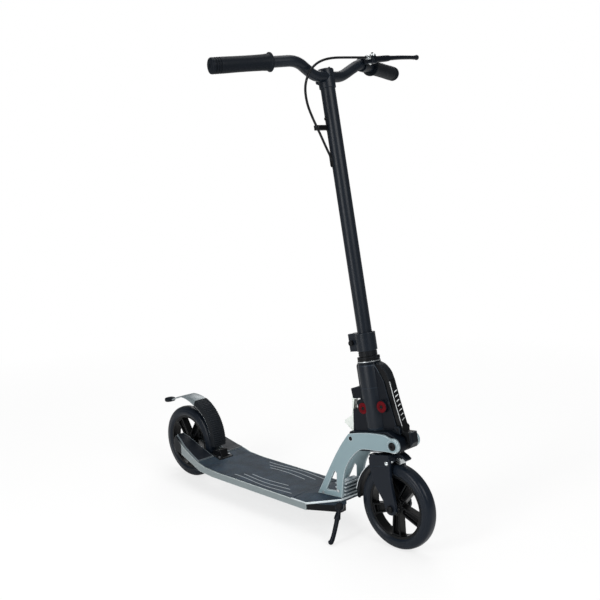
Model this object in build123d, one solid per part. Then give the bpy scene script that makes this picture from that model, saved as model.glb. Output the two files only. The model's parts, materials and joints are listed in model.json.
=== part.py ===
from build123d import *
import math
import os

os.makedirs("parts", exist_ok=True)

# Adult kick scooter with two 180 mm wheels, a folding head, a height-adjustable T-bar, a hand brake
# on the front wheel, a foot brake on the rear wheel and a side stand. Millimetres, +X forward,
# +Y to the rider's left, +Z up, ground at z = 0.

# ---- driving sizes -------------------------------------------------------------------------------
# overall layout
wheelbase = 675.0
wheel_diameter = 180.0
wheel_radius = wheel_diameter / 2
rear_axle_x = -wheelbase / 2
front_axle_x = wheelbase / 2
axle_z = wheel_radius
steer_angle = 9.71                # back-lean of the steering axis, degrees
trail = 6.3                       # steering axis at the ground, behind the front axle
running_gap = 0.05                # radial clearance of a pin, axle or slide in its bore
side_gap = 0.5                    # clearance between faces that move past each other
far = 1200.0                      # length of a cut that goes right through

# wheels
tyre_width = 29.0
tyre_shoulder = 9.5               # rounding of the tread edge
tyre_bed_radius = 67.0
tyre_bed_width = 24.0
tyre_bed_slope = 4.0
rim_wall = 5.0
hub_radius = 15.0
hub_width = 28.0
spoke_count = 5
spoke_width_hub = 17.0
spoke_width_rim = 23.0
spoke_depth = 19.0
spoke_rib = 3.6
spoke_floor = 4.0
spoke_root = 2.0                  # how far a spoke runs into the hub
spoke_pocket_start = 4.0
spoke_phase = -18.0               # degrees
bearing_diameter = 22.0
bearing_width = 7.0
axle_diameter = 8.0
spacer_diameter = 12.0
axle_head_radius = 7.5
axle_head_length = 4.0
axle_shoulder = 2.5
rear_axle_head_y = 44.0           # seat of the rear axle heads, sunk in the arms

# deck
deck_half_width = 75.0
deck_top_z = 67.0
deck_bottom_z = 52.0
deck_front_x = front_axle_x - 194.5
deck_wall = 3.0
deck_cell_count = 5
deck_cell_start_x = rear_axle_x + 167.5
deck_corner = 2.5
wheel_slot_half_width = 21.5
wheel_slot_front_x = rear_axle_x + 115.5
flat_end_x = rear_axle_x + 187.5  # rear end of the level part of the top
# outlines of the rear arms, measured forward from the rear axle
arm_top = ((137.5, 70.0), (97.5, 80.0), (57.5, 93.0), (19.5, 107.0), (-4.5, 112.0))
arm_bottom = ((-8.5, 76.0), (37.5, 76.0), (82.5, 66.0), (122.5, 56.0), (167.5, 52.0))
arm_end = (-23.5, 96.0)
arm_plan = ((115.5, 75.0), (37.5, 63.0), (-5.5, 49.0), (-23.5, 40.0))
grip_thickness = 1.2
grip_inset = 4.0
pad_thickness = 3.0
pad_front_x = rear_axle_x + 111.5
pad_inset = 3.0
pad_setback = 8.0
pad_slot_gap = 2.0
grip_overlap = 2.0                # of the grip sheet behind the front edge of the pads

# neck between the deck and the side plates
neck_start_x = deck_front_x - 47.0
neck_knee_x = deck_front_x - 5.0
neck_front_x = deck_front_x + 68.0
neck_knee_z = 79.0
neck_front_z = 84.0
neck_front_half_width = 35.0
neck_shoulder = 37.0              # half width of the raised top, under the side plates
neck_start_step = 0.6
neck_edge_step = 1.0
neck_edge_drop = 2.0
cap_setback = 1.0
cap_back_x = deck_front_x + 20.0  # the cap ends here, but for its block on the right
cap_block_y = -20.0               # left face of that block, which carries the stand
nose_under = ((20.0, 67.0), (68.0, 74.0))   # underside of the nose, ahead of the deck
cap_tail_wall = 24.0

# side plates that carry the head
plate_inner_y = 29.0
plate_thickness = 5.0
hinge_x = front_axle_x + 14.8
hinge_z = 227.0
hinge_bolt_radius = 6.0
hinge_boss_radius = 13.5
hinge_boss_height = 1.5
lock_x = hinge_x - 112.8
lock_z = 220.3
lock_radius = 4.5
plate_screw_radius = 3.0
plate_screw_height = 1.5
plate_screws = ((-150.0, -129.0), (-194.3, -142.5))
hinge_socket_radius = 2.5
hinge_socket_depth = 3.0
hinge_head_height = 1.5
hinge_head_radius = 8.5
# outlines of a side plate, measured from the hinge
plate_rear_edge = ((-211.6, -147.8), (-173.3, -79.3), (-142.5, -28.7), (-118.9, 2.1))
plate_top_middle = (-70.0, 13.4)
plate_top_end = (-25.4, 18.1)
plate_notch = (-4.5, 14.5)        # dip between the top edge and the round nose
plate_nose = (16.0, 0.5)
plate_arch = ((4.5, -14.1), (-19.7, -15.3), (-54.1, -19.6), (-86.6, -25.5), (-109.3, -45.4),
              (-127.0, -71.0), (-135.0, -97.0), (-141.3, -142.8))
plate_window = ((-186.3, -135.0), (-160.8, -86.0), (-154.8, -91.0), (-155.8, -130.5))
window_corner = 2.5
# cross piece between the plates, measured from the top front edge of the neck
tie_front = ((-7.0, -4.5), (-0.5, 0.0), (3.0, 34.0), (-3.0, 34.0))
tie_base = ((-35.0, -4.4), (-3.0, -1.8), (-3.0, 2.0), (-35.0, 0.0))
tie_rib_x = (-23.0, -2.0)
tie_rib_z = (9.0, 18.0, 27.0)
tie_rib_thickness = 3.0

# head
head_tube_radius = 24.0
head_top = 388.0
head_bottom = 206.0
head_bore_radius = 19.0
front_web_half_width = 11.5
rear_lobe_half_width = 22.5
pinch_half_width = 14.0
lever_slot_half_width = 7.0
red_cap_radius = 12.0
red_cap_height = 2.0
red_cap_socket = 3.0
red_cap_floor = 0.8
red_caps = ((-15.0, 294.0), (34.0, 297.0))
front_cap_face = 21.0             # half width of the bosses under the front red caps
# outlines of the head, forward of the steering axis and along it
web_outline = ((0, 240), (59, 241), (53.4, 274), (47, 308.6), (40.5, 348), (31, 368), (22, 384), (0, 384))
fin_outline = ((0, 330), (-30.5, 330), (-30.5, 380), (-26, 386), (0, 386))
fin_half_width = 8.0
lobe_outline = ((8, 240), (-52, 240), (-44, 293), (-30, 293), (-30, 308), (-26, 312), (8, 312))
pinch_outline = ((0, 313), (-48, 313), (-50, 334), (-30, 338), (0, 338))
pinch_slot = ((-34, 300), (-60, 300), (-60, 350), (-34, 350))
lower_outline = ((-58, 224), (-60, 247), (46, 247), (72, 230), (72, 206), (-44, 206))
lower_corner = 5.0
# kick step: cover outline from the top to the toe, then back up the inside
pedal_front = ((27, 384), (38, 377), (48.3, 364))
pedal_face = ((53.8, 347.5), (59.4, 308.6), (65.8, 274))
pedal_toe = ((72, 244), (92, 243))
pedal_toe_low = ((92, 222), (84, 213))
pedal_inside = ((78, 213), (77, 234), (61, 246), (55, 274), (48.8, 308.6), (43, 345), (32, 366), (23, 380))
pedal_room_gap = 1.7              # clearance round the kick step for its travel
pedal_half_width = 10.0
pedal_pivot = (62.5, 250.0)
pedal_pin_radius = 2.5
pedal_boss = ((54, 244), (56, 256), (66, 256), (68, 240))
pedal_boss_radius = 6.0
pedal_boss_width = 5.0
nose_outline = ((86, 243), (86, 215), (92, 222), (92, 243))
nose_rounding = 4.0
# release lever behind the head
latch_pivot = (-43.0, 320.0)
latch_pin_radius = 2.5
latch_half_width = 6.0
latch_eye_radius = 5.5
latch_strip = ((-43, 312), (-58, 312), (-60, 296), (-73, 242), (-68, 240), (-56.5, 296), (-52, 309))
latch_tab = ((-64, 276), (-88, 266), (-90, 260), (-70, 242))
latch_arm = ((-46, 322), (-58, 316), (-58, 309), (-50, 309), (-40, 316))
headset_radius = 22.0
headset_flange_radius = 24.0
headset_seat = 8.0
headset_flange_top = 1.5
headset_flange_bottom = 3.0
ring_gap = 0.3
ring_radii = (23.0, 18.5, 19.3)    # flange, sleeve and its two beads
ring_step = 397.5
bead_starts = (400.0, 404.5)
bead_height = 3.0
ring_tab = (15.0, 27.0, 394.0, 399.5)
ring_tab_half_width = 5.0

# steerer, clamp and fork
steerer_radius = 17.0
steerer_bore_radius = 15.0
steerer_top = 445.0
steerer_bottom = 186.0
steerer_floor = 2.0
crown_top = 199.0
crown_bottom = 182.0
crown_rear = -17.0
crown_front = 38.0
leg_inner_y = 19.0
leg_thickness = 8.0
leg_end_radius = 13.5
crown_corner = 6.0
leg_top_drop = 6.0
leg_rear = ((-18.5, 171), (-12.5, 138), (6, 102))
leg_front = ((34.5, 110), (32.5, 140), (34, 163))
crown_bolt = (30.0, 182.5)
crown_bolt_radius = 4.0
crown_bolt_height = 2.5
collar_radius = 21.0
collar_bottom = 410.0
collar_top = 447.0
collar_slit = 4.0
ear_rear = -37.0
ear_half_width = 12.0
clamp_bolt_f = -29.0
clamp_bolt_s = 428.0
clamp_bolt_radius = 2.5
clamp_nut_radius = 5.5
clamp_nut_height = 5.0
quick_release_thickness = 5.0
quick_release_half_height = 6.0
quick_release_knuckle = 5.0
quick_release_gap = 1.5
quick_release_slot = 3.2
quick_release_tip_f = 0.0
quick_pivot_y = 19.0
quick_pivot_radius = 2.0
mudguard_gap = 7.5                # between the tyre and the front mudguard
mudguard_thickness = 3.0
mudguard_half_width = 18.5
mudguard_strut = ((-17, 196), (-20, 196), (-23, 177), (-17, 180))
mudguard_strut_half_width = 9.0
mudguard_start = 112.0            # degrees around the front axle, from straight ahead
mudguard_end = 172.0
bracket_outline = ((38, 199), (52, 198), (60, 193), (67, 186), (65, 183), (57, 190), (38, 191))
bracket_half_width = 9.0
shoe_box = (38.8, 51.8, 176.0, 189.0)
shoe_half_width = 8.0
shoe_rounding = 2.5
shoe_gap = 1.6                    # between the tyre and the shoe at rest
shoe_stem_f = 45.5
shoe_stem_radius = 2.5
shoe_stem = (183.0, 201.0)

# T-bar
tbar_radius = 15.0
tbar_wall = 2.0
tbar_bottom = 345.0
bar_s = 969.0                     # middle of the handlebar, along the column
tbar_top = bar_s - 13.0
tbar_cap = 6.0
bar_radius = 11.1
bar_wall = 2.0
bar_centre = (4.0, 0.0, bar_s)    # forward, left, along the column
bar_bend_low = (4.0, 38.0, bar_s)
bar_bend_high = (13.0, 92.0, bar_s + 27.0)
bar_end = (-41.0, 265.0, bar_s + 24.0)
bar_bend_radius = 55.0
stem_radius = 17.0
stem_bottom = bar_s - 23.0
stem_top = bar_s + 16.0
stem_split = 1.0
stem_screw_radius = 2.2
stem_screw_offset = 12.0
stem_screw_depth = 6.0
stem_screw_height = 1.5
stem_top_rounding = 3.0
stem_tab = ((-10.0, -1.0), (-29.0, -3.0), (-28.0, -8.0), (-12.0, -17.0))   # from the bar's middle
stem_tab_half_width = 3.0
grip_radius = 16.0
grip_flange_radius = 19.0
grip_flange = 4.0
grip_length = 126.0
grip_end = 4.0
grip_rounding = 3.0

# hand brake
lever_clamp_offset = 10.0         # along the grip part of the bar, from its upper bend
lever_clamp_length = 15.0
lever_clamp_radius = 15.0
lever_pivot = (32.0, 116.0, bar_s + 32.0)
lever_thickness = 8.0
lever_tilt = 3.5                  # the lever rises to its tip, degrees
lever_knuckle_radius = 7.0
lever_pin_radius = 2.5
lever_tip = (36.0, 258.0)
lever_ball_radius = 5.5
lever_ear_low = 4.0
lever_ear_high = 3.0
lever_mouth_gap = 1.5
lever_mouth_reach = 30.0
lever_arm_depth = 9.0
lever_arm_rise = 6.0
lever_arm = ((8, 100), (22, 97), (34, 99), (40, 104), (40, 108), (28, 110), (12, 112))
lever_ear_start_y = 104.0
lever_head_radius = 5.0
lever_head_height = 2.5
# blade of the brake lever, measured from its pivot
lever_root = ((-5, 0), (-2, 54), (7, 56), (8, 6), (4, 0))
lever_blade_inner = ((-1, 50), (0, 84))
lever_blade_outer = ((6, 84), (5.5, 50))
lever_tip_half_width = 3.5
lever_blade_step = 1.0
barrel = ((3.5, 5.0), (-4.0, 5.0), (-8.0, 3.8))   # along the cable from its end, and radius
cable_radius = 2.5
cable_points = (
    (36.0, 96.0, bar_s + 34.0),
    (33.0, 44.0, bar_s + 33.0),
    (30.0, -21.0, bar_s + 30.5),
    (26.0, -62.0, bar_s + 15.0),
    (19.0, -84.0, bar_s - 18.0),
    (8.0, -76.0, bar_s - 53.0),
    (-3.0, -53.0, bar_s - 84.0),
    (-6.0, -36.0, bar_s - 113.0),
    (-6.0, -22.0, bar_s - 147.0),
    (-5.0, -8.0, bar_s - 179.0),
)
hook_f = -6.0
hook_y = -42.0
hook_s = bar_s - 101.0
hook_size = (4.0, 6.0, 5.0)       # half width, reach past the cable, half height
hook_rounding = 2.0
slit_f = -5.0
slit_s = bar_s - 168.0
slit_length = 27.0
slit_width = 9.0
grommet_rim = 1.5

# rear foot brake, centred a little ahead of and above the rear axle
fender_shift_x = 8.0
fender_shift_z = 18.0
fender_radius = 103.5
fender_thickness = 3.0
fender_half_width = 19.0
fender_cheek = 15.0
fender_start = -6.0
fender_end = 96.0
fender_pin_x = rear_axle_x + 105.5
fender_pin_z = 84.0
fender_pin_radius = 2.5
fender_eye_radius = 6.0
fender_eye_gap = 2.5
fender_strap_half_width = 9.5
fender_strap_foot = 5.0
fender_ear_half_width = 15.0
fender_pad_gap = 5.5
fender_pad_half_width = 9.0
fender_pad_arc = (58.0, 76.0)     # degrees around the rear axle
neck_end_x = rear_axle_x - 66.5
neck_end_z = 192.0
fender_neck = 3.0                 # thickness of the neck that carries the tip
fender_neck_plan = ((5, 19), (-14, 17), (-26, 10))   # behind the top of the arc, and half width
fender_neck_half_width = 9.0
fender_neck_drop = 3.0
tip_end_x = rear_axle_x - 98.0
tip_end_z = 178.0
tip_thickness = 9.0
tip_half_width = 12.0
tip_overlap = 8.0
# block of the foot brake, measured from its pin along x, and heights
base_foot = ((8, 76), (9.5, 92), (15, 92), (23, 77), (23, 70), (11, 70))
base_foot_half_width = 11.0
base_flange = ((10.3, 70), (10.3, 78.5), (28, 74), (28, 70))
base_flange_half_width = 20.5
base_ear = ((14.5, 91), (14.5, 76))
base_ear_foot = 5.0
base_screw_x = 19.5
base_screw_y = 15.0
base_screw_z = (74.2, 78.5)
base_screw_radius = 2.8

# side stand
stand_pivot = (neck_front_x + 5.0, -47.0, 70.0)
stand_foot = (neck_front_x + 17.6, -86.6, 0.0)
stand_fold_direction = (-0.80, -0.58, -0.12)
stand_leg_radius = 5.0
stand_knuckle_radius = 9.5
stand_knuckle_length = 9.0
stand_pin_radius = 3.5
stand_pin_head = 2.5
stand_pin_grip = 12.0
stand_boss_length = 20.0
stand_boss_top = 12.0
stand_foot_length = 14.0
stand_foot_end = 8.0
stand_foot_wall = 1.5
stand_leg_start = 4.0

# ---- places that follow from them ----------------------------------------------------------------
plate_outer_y = plate_inner_y + plate_thickness
leg_outer_y = leg_inner_y + leg_thickness
axle_radius = axle_diameter / 2
lean = math.radians(steer_angle)
steer_foot_x = front_axle_x - trail

# the finished scooter is centred on its own length
rear_reach = tip_end_x
front_reach = front_axle_x + wheel_radius
origin_shift = -(rear_reach + front_reach) / 2

# column frame: x forward of the steering axis, y to the left, z up along the axis
column = Plane(
    origin=(steer_foot_x, 0, 0),
    x_dir=(math.cos(lean), 0, math.sin(lean)),
    z_dir=(-math.sin(lean), 0, math.cos(lean)),
)


def to_column(x, z):
    """Column coordinates (forward, along) of a point on the centre plane."""
    dx = x - steer_foot_x
    forward = dx * math.cos(lean) + z * math.sin(lean)
    along = -dx * math.sin(lean) + z * math.cos(lean)
    return forward, along


axle_f, axle_s = to_column(front_axle_x, axle_z)
hinge_f, hinge_s = to_column(hinge_x, hinge_z)
lock_f, lock_s = to_column(lock_x, lock_z)


# ---- building blocks -----------------------------------------------------------------------------
def save(name, shape):
    """Write one sub-part, moved so that the origin is under the middle of the scooter."""
    export_step(Pos(origin_shift, 0, 0) * shape, f"parts/{name}.step")


def save_column(name, shape):
    save(name, column.location * shape)


def rod(start, end, radius):
    """A round bar between two points."""
    start, end = Vector(start), Vector(end)
    axis = end - start
    return Solid.make_cylinder(radius, axis.length, Plane(origin=start, z_dir=axis))


def cross_rod(x, z, half_length, radius):
    """A rod across the scooter, centred on y = 0."""
    return rod((x, -half_length, z), (x, half_length, z), radius)


def side_rod(x, z, y0, y1, radius):
    return rod((x, y0, z), (x, y1, z), radius)


def up_rod(bottom, top, radius):
    """A rod along z, which is the steering axis in the column frame."""
    return rod((0, 0, bottom), (0, 0, top), radius)


def slab(points, y0, y1):
    """The closed outline of x and z points, from y0 to y1."""
    face = Plane.XZ * make_face(Polyline(*points, close=True))
    return Pos(0, y1, 0) * extrude(face, amount=y1 - y0)


def smooth_slab(points, y0, y1, radius):
    """As slab, with every corner of the outline rounded."""
    face = Plane.XZ * make_face(FilletPolyline(*points, radius=radius, close=True))
    return Pos(0, y1, 0) * extrude(face, amount=y1 - y0)


def face_slab(face, y0, y1):
    return Pos(0, y1, 0) * extrude(Plane.XZ * face, amount=y1 - y0)


def plan_slab(points, z0, z1):
    """The closed outline of x and y points, from z0 to z1."""
    return Pos(0, 0, z0) * extrude(make_face(Polyline(*points, close=True)), amount=z1 - z0)


def block(x0, x1, y0, y1, z0, z1):
    return Pos((x0 + x1) / 2, (y0 + y1) / 2, (z0 + z1) / 2) * Box(x1 - x0, y1 - y0, z1 - z0)


def sector(centre_x, centre_z, inner, outer, start, end, y0, y1):
    """Part of a ring around a cross axis; angles in degrees from straight ahead, upwards."""
    def at(radius, angle):
        a = math.radians(angle)
        return centre_x + radius * math.cos(a), centre_z + radius * math.sin(a)
    middle = (start + end) / 2
    outline = [
        ThreePointArc(at(outer, start), at(outer, middle), at(outer, end)),
        Line(at(outer, end), at(inner, end)),
        ThreePointArc(at(inner, end), at(inner, middle), at(inner, start)),
        Line(at(inner, start), at(outer, start)),
    ]
    return face_slab(make_face(outline), y0, y1)


def both_sides(shape):
    return shape + mirror(shape, about=Plane.XZ)


# ---- wheels --------------------------------------------------------------------------------------
def tyre(x, z):
    bed = tyre_bed_width / 2
    edge = tyre_width / 2
    outline = (
        (tyre_bed_radius, -bed), (tyre_bed_radius, bed), (tyre_bed_radius + tyre_bed_slope, edge),
        (wheel_radius, edge), (wheel_radius, -edge), (tyre_bed_radius + tyre_bed_slope, -edge),
    )
    face = make_face(Polyline(*outline, close=True))
    tread = face.vertices().filter_by(lambda v: v.X > wheel_radius - 1)
    face = fillet(tread, tyre_shoulder)
    ring = revolve(Plane.XZ * face, Axis.Z)
    return Pos(x, 0, z) * Rot(90, 0, 0) * ring


def spoke(angle):
    """A tapered spoke with a pocket in each face, which leaves two ribs and a floor."""
    inner, outer = hub_radius - spoke_root, tyre_bed_radius - rim_wall + side_gap

    def bar(trim, start, end):
        a, b = spoke_width_hub / 2 - trim, spoke_width_rim / 2 - trim
        return ((start, -a), (end, -b), (end, b), (start, a))

    body = plan_slab(bar(0, inner, outer), -spoke_depth / 2, spoke_depth / 2)
    pocket = bar(spoke_rib, hub_radius + spoke_pocket_start, outer - spoke_pocket_start)
    for z0, z1 in ((spoke_floor / 2, spoke_depth), (-spoke_depth, -spoke_floor / 2)):
        body -= plan_slab(pocket, z0, z1)
    return Rot(0, 0, angle) * body


def wheel_core(x, z):
    half = tyre_bed_width / 2
    rim = rod((0, 0, -half), (0, 0, half), tyre_bed_radius)
    rim -= rod((0, 0, -half), (0, 0, half), tyre_bed_radius - rim_wall)
    core = rim + rod((0, 0, -hub_width / 2), (0, 0, hub_width / 2), hub_radius)
    for i in range(spoke_count):
        core += spoke(spoke_phase + i * 360 / spoke_count)
    core -= rod((0, 0, -hub_width), (0, 0, hub_width), spacer_diameter / 2 + side_gap)
    for side in (-1, 1):
        core -= rod((0, 0, side * (hub_width / 2 - bearing_width)), (0, 0, side * hub_width),
                    bearing_diameter / 2)
    return Pos(x, 0, z) * Rot(90, 0, 0) * core


def wheel_bearings(x, z):
    """Two ball bearings and the spacer between them."""
    bore = axle_radius + running_gap
    pieces = []
    for side in (-1, 1):
        outer_end = side * hub_width / 2
        inner_end = side * (hub_width / 2 - bearing_width)
        ring = rod((0, outer_end, 0), (0, inner_end, 0), bearing_diameter / 2)
        pieces.append(ring - cross_rod(0, 0, hub_width, bore))
    gap = hub_width / 2 - bearing_width
    spacer = cross_rod(0, 0, gap, spacer_diameter / 2)
    pieces.append(spacer - cross_rod(0, 0, hub_width, bore))
    return Pos(x, 0, z) * Compound(children=pieces)


def axle(x, z, seat_y, head_y):
    """Through bolt with a head, a nut and a shoulder spacer on each side of the wheel."""
    bolt = cross_rod(x, z, head_y + axle_head_length, axle_radius)
    for side in (-1, 1):
        inner = side * (hub_width / 2 + side_gap / 2)
        bolt += side_rod(x, z, inner, side * seat_y, axle_radius + axle_shoulder)
        bolt += side_rod(x, z, side * head_y, side * (head_y + axle_head_length), axle_head_radius)
    return bolt


for place, wheel_x in (("front", front_axle_x), ("rear", rear_axle_x)):
    save(f"{place}_tyre", tyre(wheel_x, axle_z))
    save(f"{place}_wheel_core", wheel_core(wheel_x, axle_z))
    save(f"{place}_bearings", wheel_bearings(wheel_x, axle_z))


# ---- deck ----------------------------------------------------------------------------------------
def deck_outline():
    """Half of the deck in plan, from the front corner back to the arm ends."""
    right = [(rear_axle_x + x, -y) for x, y in arm_plan]
    left = [(rear_axle_x + x, y) for x, y in reversed(arm_plan)]
    front = [(deck_front_x, deck_half_width), (deck_front_x, -deck_half_width)]
    return front + right + left


def top_line(lift):
    """Points along the top of the deck, front to rear, raised by lift."""
    flat = [(deck_front_x, deck_top_z), (flat_end_x, deck_top_z)]
    slope = [(rear_axle_x + x, z) for x, z in arm_top + (arm_end,)]
    return [(x, z + lift) for x, z in flat + slope]


def deck_layer(thickness):
    """A layer of even height that lies on the whole top of the deck."""
    return slab(top_line(thickness) + top_line(0)[::-1], -deck_half_width, deck_half_width)


def deck_body():
    underside = [(rear_axle_x + x, z) for x, z in arm_bottom]
    side = top_line(0) + underside + [(flat_end_x, deck_bottom_z), (deck_front_x, deck_bottom_z)]
    body = slab(side, -deck_half_width, deck_half_width)
    body &= plan_slab(deck_outline(), 0, far)
    body -= block(-far, wheel_slot_front_x, -wheel_slot_half_width, wheel_slot_half_width, 0, far)
    cell_step = (2 * deck_half_width - deck_wall) / deck_cell_count
    for i in range(deck_cell_count):
        y0 = -deck_half_width + deck_wall + i * cell_step
        body -= block(deck_cell_start_x, deck_front_x - deck_wall, y0, y0 + cell_step - deck_wall,
                      deck_bottom_z + deck_wall, deck_top_z - deck_wall)
    for side_y in (-1, 1):
        inner, outer = sorted((side_y * wheel_slot_half_width, side_y * deck_half_width))
        body -= side_rod(rear_axle_x, axle_z, inner, outer, axle_radius + running_gap)
        head_seat, outer = sorted((side_y * rear_axle_head_y, side_y * deck_half_width))
        body -= side_rod(rear_axle_x, axle_z, head_seat, outer, axle_head_radius + side_gap)
    return body


def grip_surface():
    """Grip sheet, cut back round the block of the foot brake."""
    grip_half_width = deck_half_width - grip_inset
    base_end = fender_pin_x + base_flange[2][0] + side_gap
    sheet = deck_layer(grip_thickness)
    sheet &= block(pad_front_x + grip_overlap, neck_start_x - side_gap, -grip_half_width, grip_half_width,
                   0, far)
    return sheet - block(-far, base_end, -wheel_slot_half_width, wheel_slot_half_width, 0, far)


def rear_pad():
    """Moulded pad on top of the left rear arm."""
    inner = wheel_slot_half_width + pad_slot_gap
    back = [(rear_axle_x + x + pad_setback, y - pad_inset) for x, y in arm_plan[1:]]
    plan = [(pad_front_x, inner), (pad_front_x, deck_half_width - pad_inset - side_gap * 2)] + back
    return deck_layer(pad_thickness) & plan_slab(plan + [(back[-1][0], inner)], 0, far)


def neck_section(x, half_width, edge_z, shoulder, top_z):
    points = (
        (x, -half_width, deck_bottom_z), (x, half_width, deck_bottom_z), (x, half_width, edge_z),
        (x, shoulder, top_z), (x, -shoulder, top_z), (x, -half_width, edge_z),
    )
    return make_face(Polyline(*points, close=True))


def neck_base():
    """The raised front of the deck: a wedge on the deck, then a nose ahead of it."""
    deck_edge = deck_half_width - deck_corner
    wedge = loft([
        neck_section(neck_start_x, deck_edge, deck_top_z + neck_start_step / 3, neck_shoulder,
                     deck_top_z + neck_start_step),
        neck_section(neck_knee_x, deck_edge, deck_top_z + neck_edge_step, neck_shoulder, neck_knee_z),
        neck_rear_section(),
    ], ruled=True)
    base = wedge + neck_nose() - block(0, far, -far, far, 0, deck_top_z)
    (start, low), (end, high) = nose_under
    under = [(deck_front_x + start, low - deck_wall), (deck_front_x + start, low),
             (deck_front_x + end + side_gap, high), (deck_front_x + end + side_gap, low - deck_wall)]
    return base - slab(under, cap_block_y, far)


def neck_rear_section():
    """Section of the neck where the deck ends."""
    return neck_section(deck_front_x, deck_half_width - deck_corner, deck_top_z + neck_edge_step,
                        neck_shoulder, neck_knee_z + side_gap)


def neck_nose():
    """Body of the neck ahead of the deck, down to the underside."""
    front = neck_section(neck_front_x, neck_front_half_width, neck_front_z - neck_edge_drop,
                         neck_front_half_width - side_gap, neck_front_z)
    return loft([neck_rear_section(), front], ruled=True)


def stand_axis():
    leg = Vector(*stand_foot) - Vector(*stand_pivot)
    return leg.normalized().cross(Vector(*stand_fold_direction).normalized()).normalized()


def front_cap():
    """Black end casting under the neck, with the boss of the side stand."""
    end = neck_front_x - cap_setback
    outer = deck_half_width - deck_corner
    taper = (outer - neck_front_half_width) / (neck_front_x - deck_front_x)
    back_half_width = outer - taper * (cap_back_x - deck_front_x)
    outline = ((deck_front_x, -outer), (deck_front_x, outer), (cap_back_x, back_half_width),
               (cap_back_x, cap_block_y), (end, cap_block_y), (end, -neck_front_half_width))
    cap = plan_slab(outline, deck_bottom_z, deck_top_z)
    cap -= block(deck_front_x + deck_wall, neck_front_x - cap_tail_wall, -neck_front_half_width,
                 neck_front_half_width, 0, deck_top_z - deck_wall)
    axis = stand_axis()
    inner_face = Vector(*stand_pivot) + axis * (stand_knuckle_length / 2 + side_gap)
    boss = rod(inner_face, inner_face + axis * stand_boss_length, stand_knuckle_radius)
    boss &= block(0, neck_front_x, -far, 0, deck_bottom_z, deck_top_z + stand_boss_top)
    above = neck_nose() - block(0, far, -far, far, 0, deck_top_z)
    return cap + (boss - above) - stand_pin()


def stand_pin():
    axis = stand_axis()
    head = Vector(*stand_pivot) - axis * (stand_knuckle_length / 2 + side_gap)
    end = Vector(*stand_pivot) + axis * (stand_knuckle_length / 2 + stand_pin_grip)
    pin = rod(head, end, stand_pin_radius)
    return pin + rod(head, head - axis * stand_pin_head, stand_pin_radius + stand_pin_head)


def stand_leg():
    axis = stand_axis()
    centre = Vector(*stand_pivot)
    half = stand_knuckle_length / 2
    knuckle = rod((centre - axis * half), (centre + axis * half), stand_knuckle_radius)
    foot = Vector(*stand_foot)
    down = (foot - centre).normalized()
    leg_end = foot - down * stand_foot_length
    leg = rod(centre + down * stand_leg_start, leg_end, stand_leg_radius)
    bore = rod(centre - axis * stand_boss_length, centre + axis * stand_boss_length,
               stand_pin_radius + running_gap)
    return leg + knuckle - bore


def stand_shoe():
    centre = Vector(*stand_pivot)
    foot = Vector(*stand_foot)
    down = (foot - centre).normalized()
    shoe = rod(foot - down * stand_foot_length, foot + down * stand_foot_end,
               stand_leg_radius + stand_foot_wall)
    return shoe & block(-far, far, -far, far, 0, far)


save("deck", deck_body())
save("grip_surface", grip_surface())
left_pad = rear_pad()
save("rear_pad_left", left_pad)
save("rear_pad_right", mirror(left_pad, about=Plane.XZ))

save("neck_base", neck_base())
save("front_cap", front_cap())
save("stand_leg", stand_leg())
save("stand_shoe", stand_shoe())
save("stand_pin", stand_pin())


# ---- side plates ---------------------------------------------------------------------------------
def from_hinge(points):
    return [(hinge_x + x, hinge_z + z) for x, z in points]


def side_plate():
    """One plate, on the right, with its window, hinge boss and two holes."""
    rear, arch = from_hinge(plate_rear_edge), from_hinge(plate_arch)
    top_middle, top_end = from_hinge((plate_top_middle, plate_top_end))
    notch, nose = from_hinge((plate_notch, plate_nose))
    outline = [
        Spline(*rear),
        ThreePointArc(rear[-1], top_middle, top_end),
        Spline(top_end, notch, tangents=((1, 0.05), (1, 0.1))),
        ThreePointArc(notch, nose, arch[0]),
        Spline(*arch),
        Line(arch[-1], rear[0]),
    ]
    plate = face_slab(make_face(outline), -plate_outer_y, -plate_inner_y)
    plate -= smooth_slab(from_hinge(plate_window), -far, 0, window_corner)
    plate += side_rod(hinge_x, hinge_z, -plate_outer_y - hinge_boss_height, -plate_inner_y,
                      hinge_boss_radius)
    plate -= side_rod(hinge_x, hinge_z, -far, 0, hinge_bolt_radius)
    return plate - side_rod(lock_x, lock_z, -far, 0, lock_radius)


def hinge_bolt():
    """Main pivot of the fold, with a sunk socket in each head."""
    reach = plate_outer_y + hinge_boss_height
    bolt = cross_rod(hinge_x, hinge_z, reach, hinge_bolt_radius)
    for side in (-1, 1):
        face = side * reach
        bolt += side_rod(hinge_x, hinge_z, face, face + side * hinge_head_height, hinge_head_radius)
        bolt -= side_rod(hinge_x, hinge_z, face - side * hinge_socket_depth, face + side * hinge_socket_depth,
                         hinge_socket_radius)
    return bolt


def from_neck(points):
    return [(neck_front_x + x, neck_front_z + z) for x, z in points]


def plate_tie():
    """Ribbed cross piece between the feet of the two side plates."""
    tie = slab(from_neck(tie_front), -plate_inner_y, plate_inner_y)
    tie += slab(from_neck(tie_base), -plate_inner_y, plate_inner_y)
    start, end = neck_front_x + tie_rib_x[0], neck_front_x + tie_rib_x[1]
    for height in tie_rib_z:
        low = neck_front_z + height - tie_rib_thickness / 2
        tie += block(start, end, -plate_inner_y, plate_inner_y, low, low + tie_rib_thickness)
    return tie - neck_base()


def foot_screws():
    """Button-head screws that hold the side plates down to the neck."""
    screws = []
    for side in (-1, 1):
        for x, z in from_hinge(plate_screws):
            end = side * (plate_outer_y + plate_screw_height)
            screws.append(side_rod(x, z, side * plate_outer_y, end, plate_screw_radius))
    return screws


right_plate = side_plate() - neck_base()
save("side_plate_right", right_plate)
save("side_plate_left", mirror(right_plate, about=Plane.XZ))
save("hinge_bolt", hinge_bolt())
save("plate_tie", plate_tie())


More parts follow.
